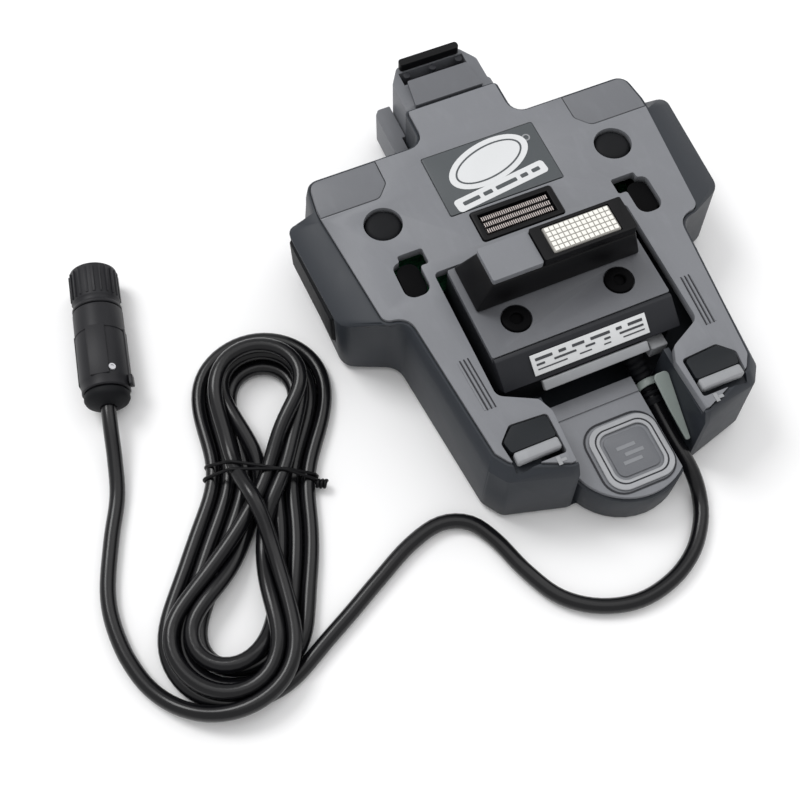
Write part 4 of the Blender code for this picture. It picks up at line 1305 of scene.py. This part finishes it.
@dataclass
class Latch:
    """The sliding latch head with its panel, hook, catch, tabs, rods and springs."""

    wire: float = 0.4
    coils: int = 5
    per_turn: int = 16

    def build(self) -> None:
        """Dress every piece of the latch."""
        for name, finish, width in (("head", Finish.FIELD, 0.3), ("panel", Finish.SHELF, 0.25),
                                    ("hook", Finish.BLACK, 0.3), ("catch", Finish.SLATE, 0.3)):
            carried(f"latch_{name}", finish, width)
        for side in ("left", "right"):
            carried(f"latch_tab_{side}", Finish.PAD, 0.3)
            carried(f"latch_rod_{side}", Finish.STEEL, 0.15)
            self.spring(side)

    def spring(self, side: str) -> None:
        """Build a coil spring in the CAD spring's place; the coil stays fixed when the latch slides out."""
        low, high = (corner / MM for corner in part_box(f"latch_spring_{side}"))
        middle, radius = (low + high) / 2, (high.x - low.x) / 2 - self.wire
        count = self.coils * self.per_turn
        points = []
        for i in range(count + 1):
            angle = 2 * math.pi * i / self.per_turn
            y = low.y + self.wire + (high.y - low.y - 2 * self.wire) * i / count
            points.append((middle.x + radius * math.cos(angle), y, middle.z + radius * math.sin(angle)))
        coil = tube(f"latch_coil_{side}", Finish.STEEL, points, [self.wire] * len(points))
        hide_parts(f"latch_spring_{side}")
        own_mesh(coil)


@dataclass
class Claws:
    """The two corner claws with their pins, bars and plain pointer marks."""

    mark_inset: float = 5.4
    mark_drop: float = 6.3
    mark_z: float = 38.1

    def build(self) -> None:
        """Dress the claws and build their marks."""
        for name in ("left", "right"):
            carried(f"claw_{name}", Finish.CLAW, 0.35)
            carried(f"claw_pin_{name}", Finish.STEEL, 0.1)
            carried(f"claw_bar_{name}", Finish.PALE, 0.4)
            middle, side = centre_of(f"claw_bar_{name}"), 1 if name == "right" else -1
            x, y = middle.x - side * self.mark_inset, middle.y - self.mark_drop
            boxes = [((x, y, self.mark_z), (1.5, 3.4, 0.3), 0.0),
                     ((x + 1.6, y - 0.2, self.mark_z), (2.2, 1.2, 0.3), 0.0)]
            blocks(f"claw_mark_{name}", Finish.PALE, boxes, 0.1)


# ---------------------------------------------------------------- studio

@dataclass
class Studio:
    """The camera, the pale floor and the soft lights.

    Attributes:
        azimuth: The camera's turn round the cradle, in degrees.
        elevation: Its height above the floor, in degrees.
        distance: Its distance from its target, in metres.
        target: The point that it faces.
        lens: Its focal length in millimetres.
        floor_half: Half the floor's width.
        lights: Each light's name, place, size and power.
        sky: The sky's strength.
    """

    azimuth: float = -22.988
    elevation: float = 64.370
    distance: float = 0.44287
    target: tuple = (-0.06632, -0.02421, 0.0)
    lens: float = 50.4
    floor_half: float = 6.0
    lights: tuple = (("key", (-0.6, 0.9, 1.5), 0.7, 13.5), ("side", (1.2, 0.3, 1.4), 1.2, 5.0),
                     ("top", (0.0, 0.1, 1.9), 1.6, 7.0))
    sky: float = 0.66

    def build(self) -> None:
        """Build the camera, floor, lights and sky."""
        a, e = math.radians(self.azimuth), math.radians(self.elevation)
        back = Vector((math.sin(a) * math.cos(e), -math.cos(a) * math.cos(e), math.sin(e)))
        data = bpy.data.cameras.new("camera")
        data.lens, data.sensor_width, data.clip_start = self.lens, 36.0, 0.01
        camera = bpy.data.objects.new("camera", data)
        camera.location = Vector(self.target) + back * self.distance
        camera.rotation_euler = (-back).to_track_quat("-Z", "Y").to_euler()
        bpy.context.scene.collection.objects.link(camera)
        bpy.context.scene.camera = camera
        bpy.context.scene.view_settings.view_transform = "Standard"
        self.floor()
        for light in self.lights:
            self.light(*light)
        world = bpy.data.worlds.new("sky")
        bpy.context.scene.world = world
        world.use_nodes = True
        sky = world.node_tree.nodes["Background"]
        sky.inputs["Color"].default_value = (1.0, 1.0, 1.0, 1.0)
        sky.inputs["Strength"].default_value = self.sky

    def floor(self) -> None:
        """Build the floor just under the cradle's feet."""
        half = self.floor_half
        mesh = bpy.data.meshes.new("floor")
        mesh.from_pydata([(-half, -half, 0), (half, -half, 0), (half, half, 0), (-half, half, 0)], [],
                         [(0, 1, 2, 3)])
        mesh.materials.append(Finish.FLOOR.material())
        floor = bpy.data.objects.new("floor", mesh)
        floor.location.z = CAD_BOX[0].z - 0.0001
        bpy.context.scene.collection.objects.link(floor)

    def light(self, name: str, place: tuple, size: float, power: float) -> None:
        """Build a square soft light that faces the cradle.

        Args:
            name: The light's name.
            place: Where it stands.
            size: Length of its sides.
            power: Its power in watts.
        """
        data = bpy.data.lights.new(name, "AREA")
        data.size, data.energy = size, power
        made = bpy.data.objects.new(name, data)
        made.location = place
        made.rotation_euler = (Vector(self.target) - Vector(place)).to_track_quat("-Z", "Y").to_euler()
        bpy.context.scene.collection.objects.link(made)


def main() -> None:
    """Build the studio, the lead and every part of the cradle."""
    logging.basicConfig(level=logging.INFO, format="%(name)s: %(message)s")
    Studio().build()
    lead = Lead()
    cord, tie = lead.build()
    lead.declare([*tie, *Plug().build()])
    for part in (Housing(), Cover(), CombConnector(), Module(), DockingBlock(), Tongue(), Latch(), Claws()):
        part.build()
        LOG.info("%s built", type(part).__name__)


if __name__ == "__main__":
    main()
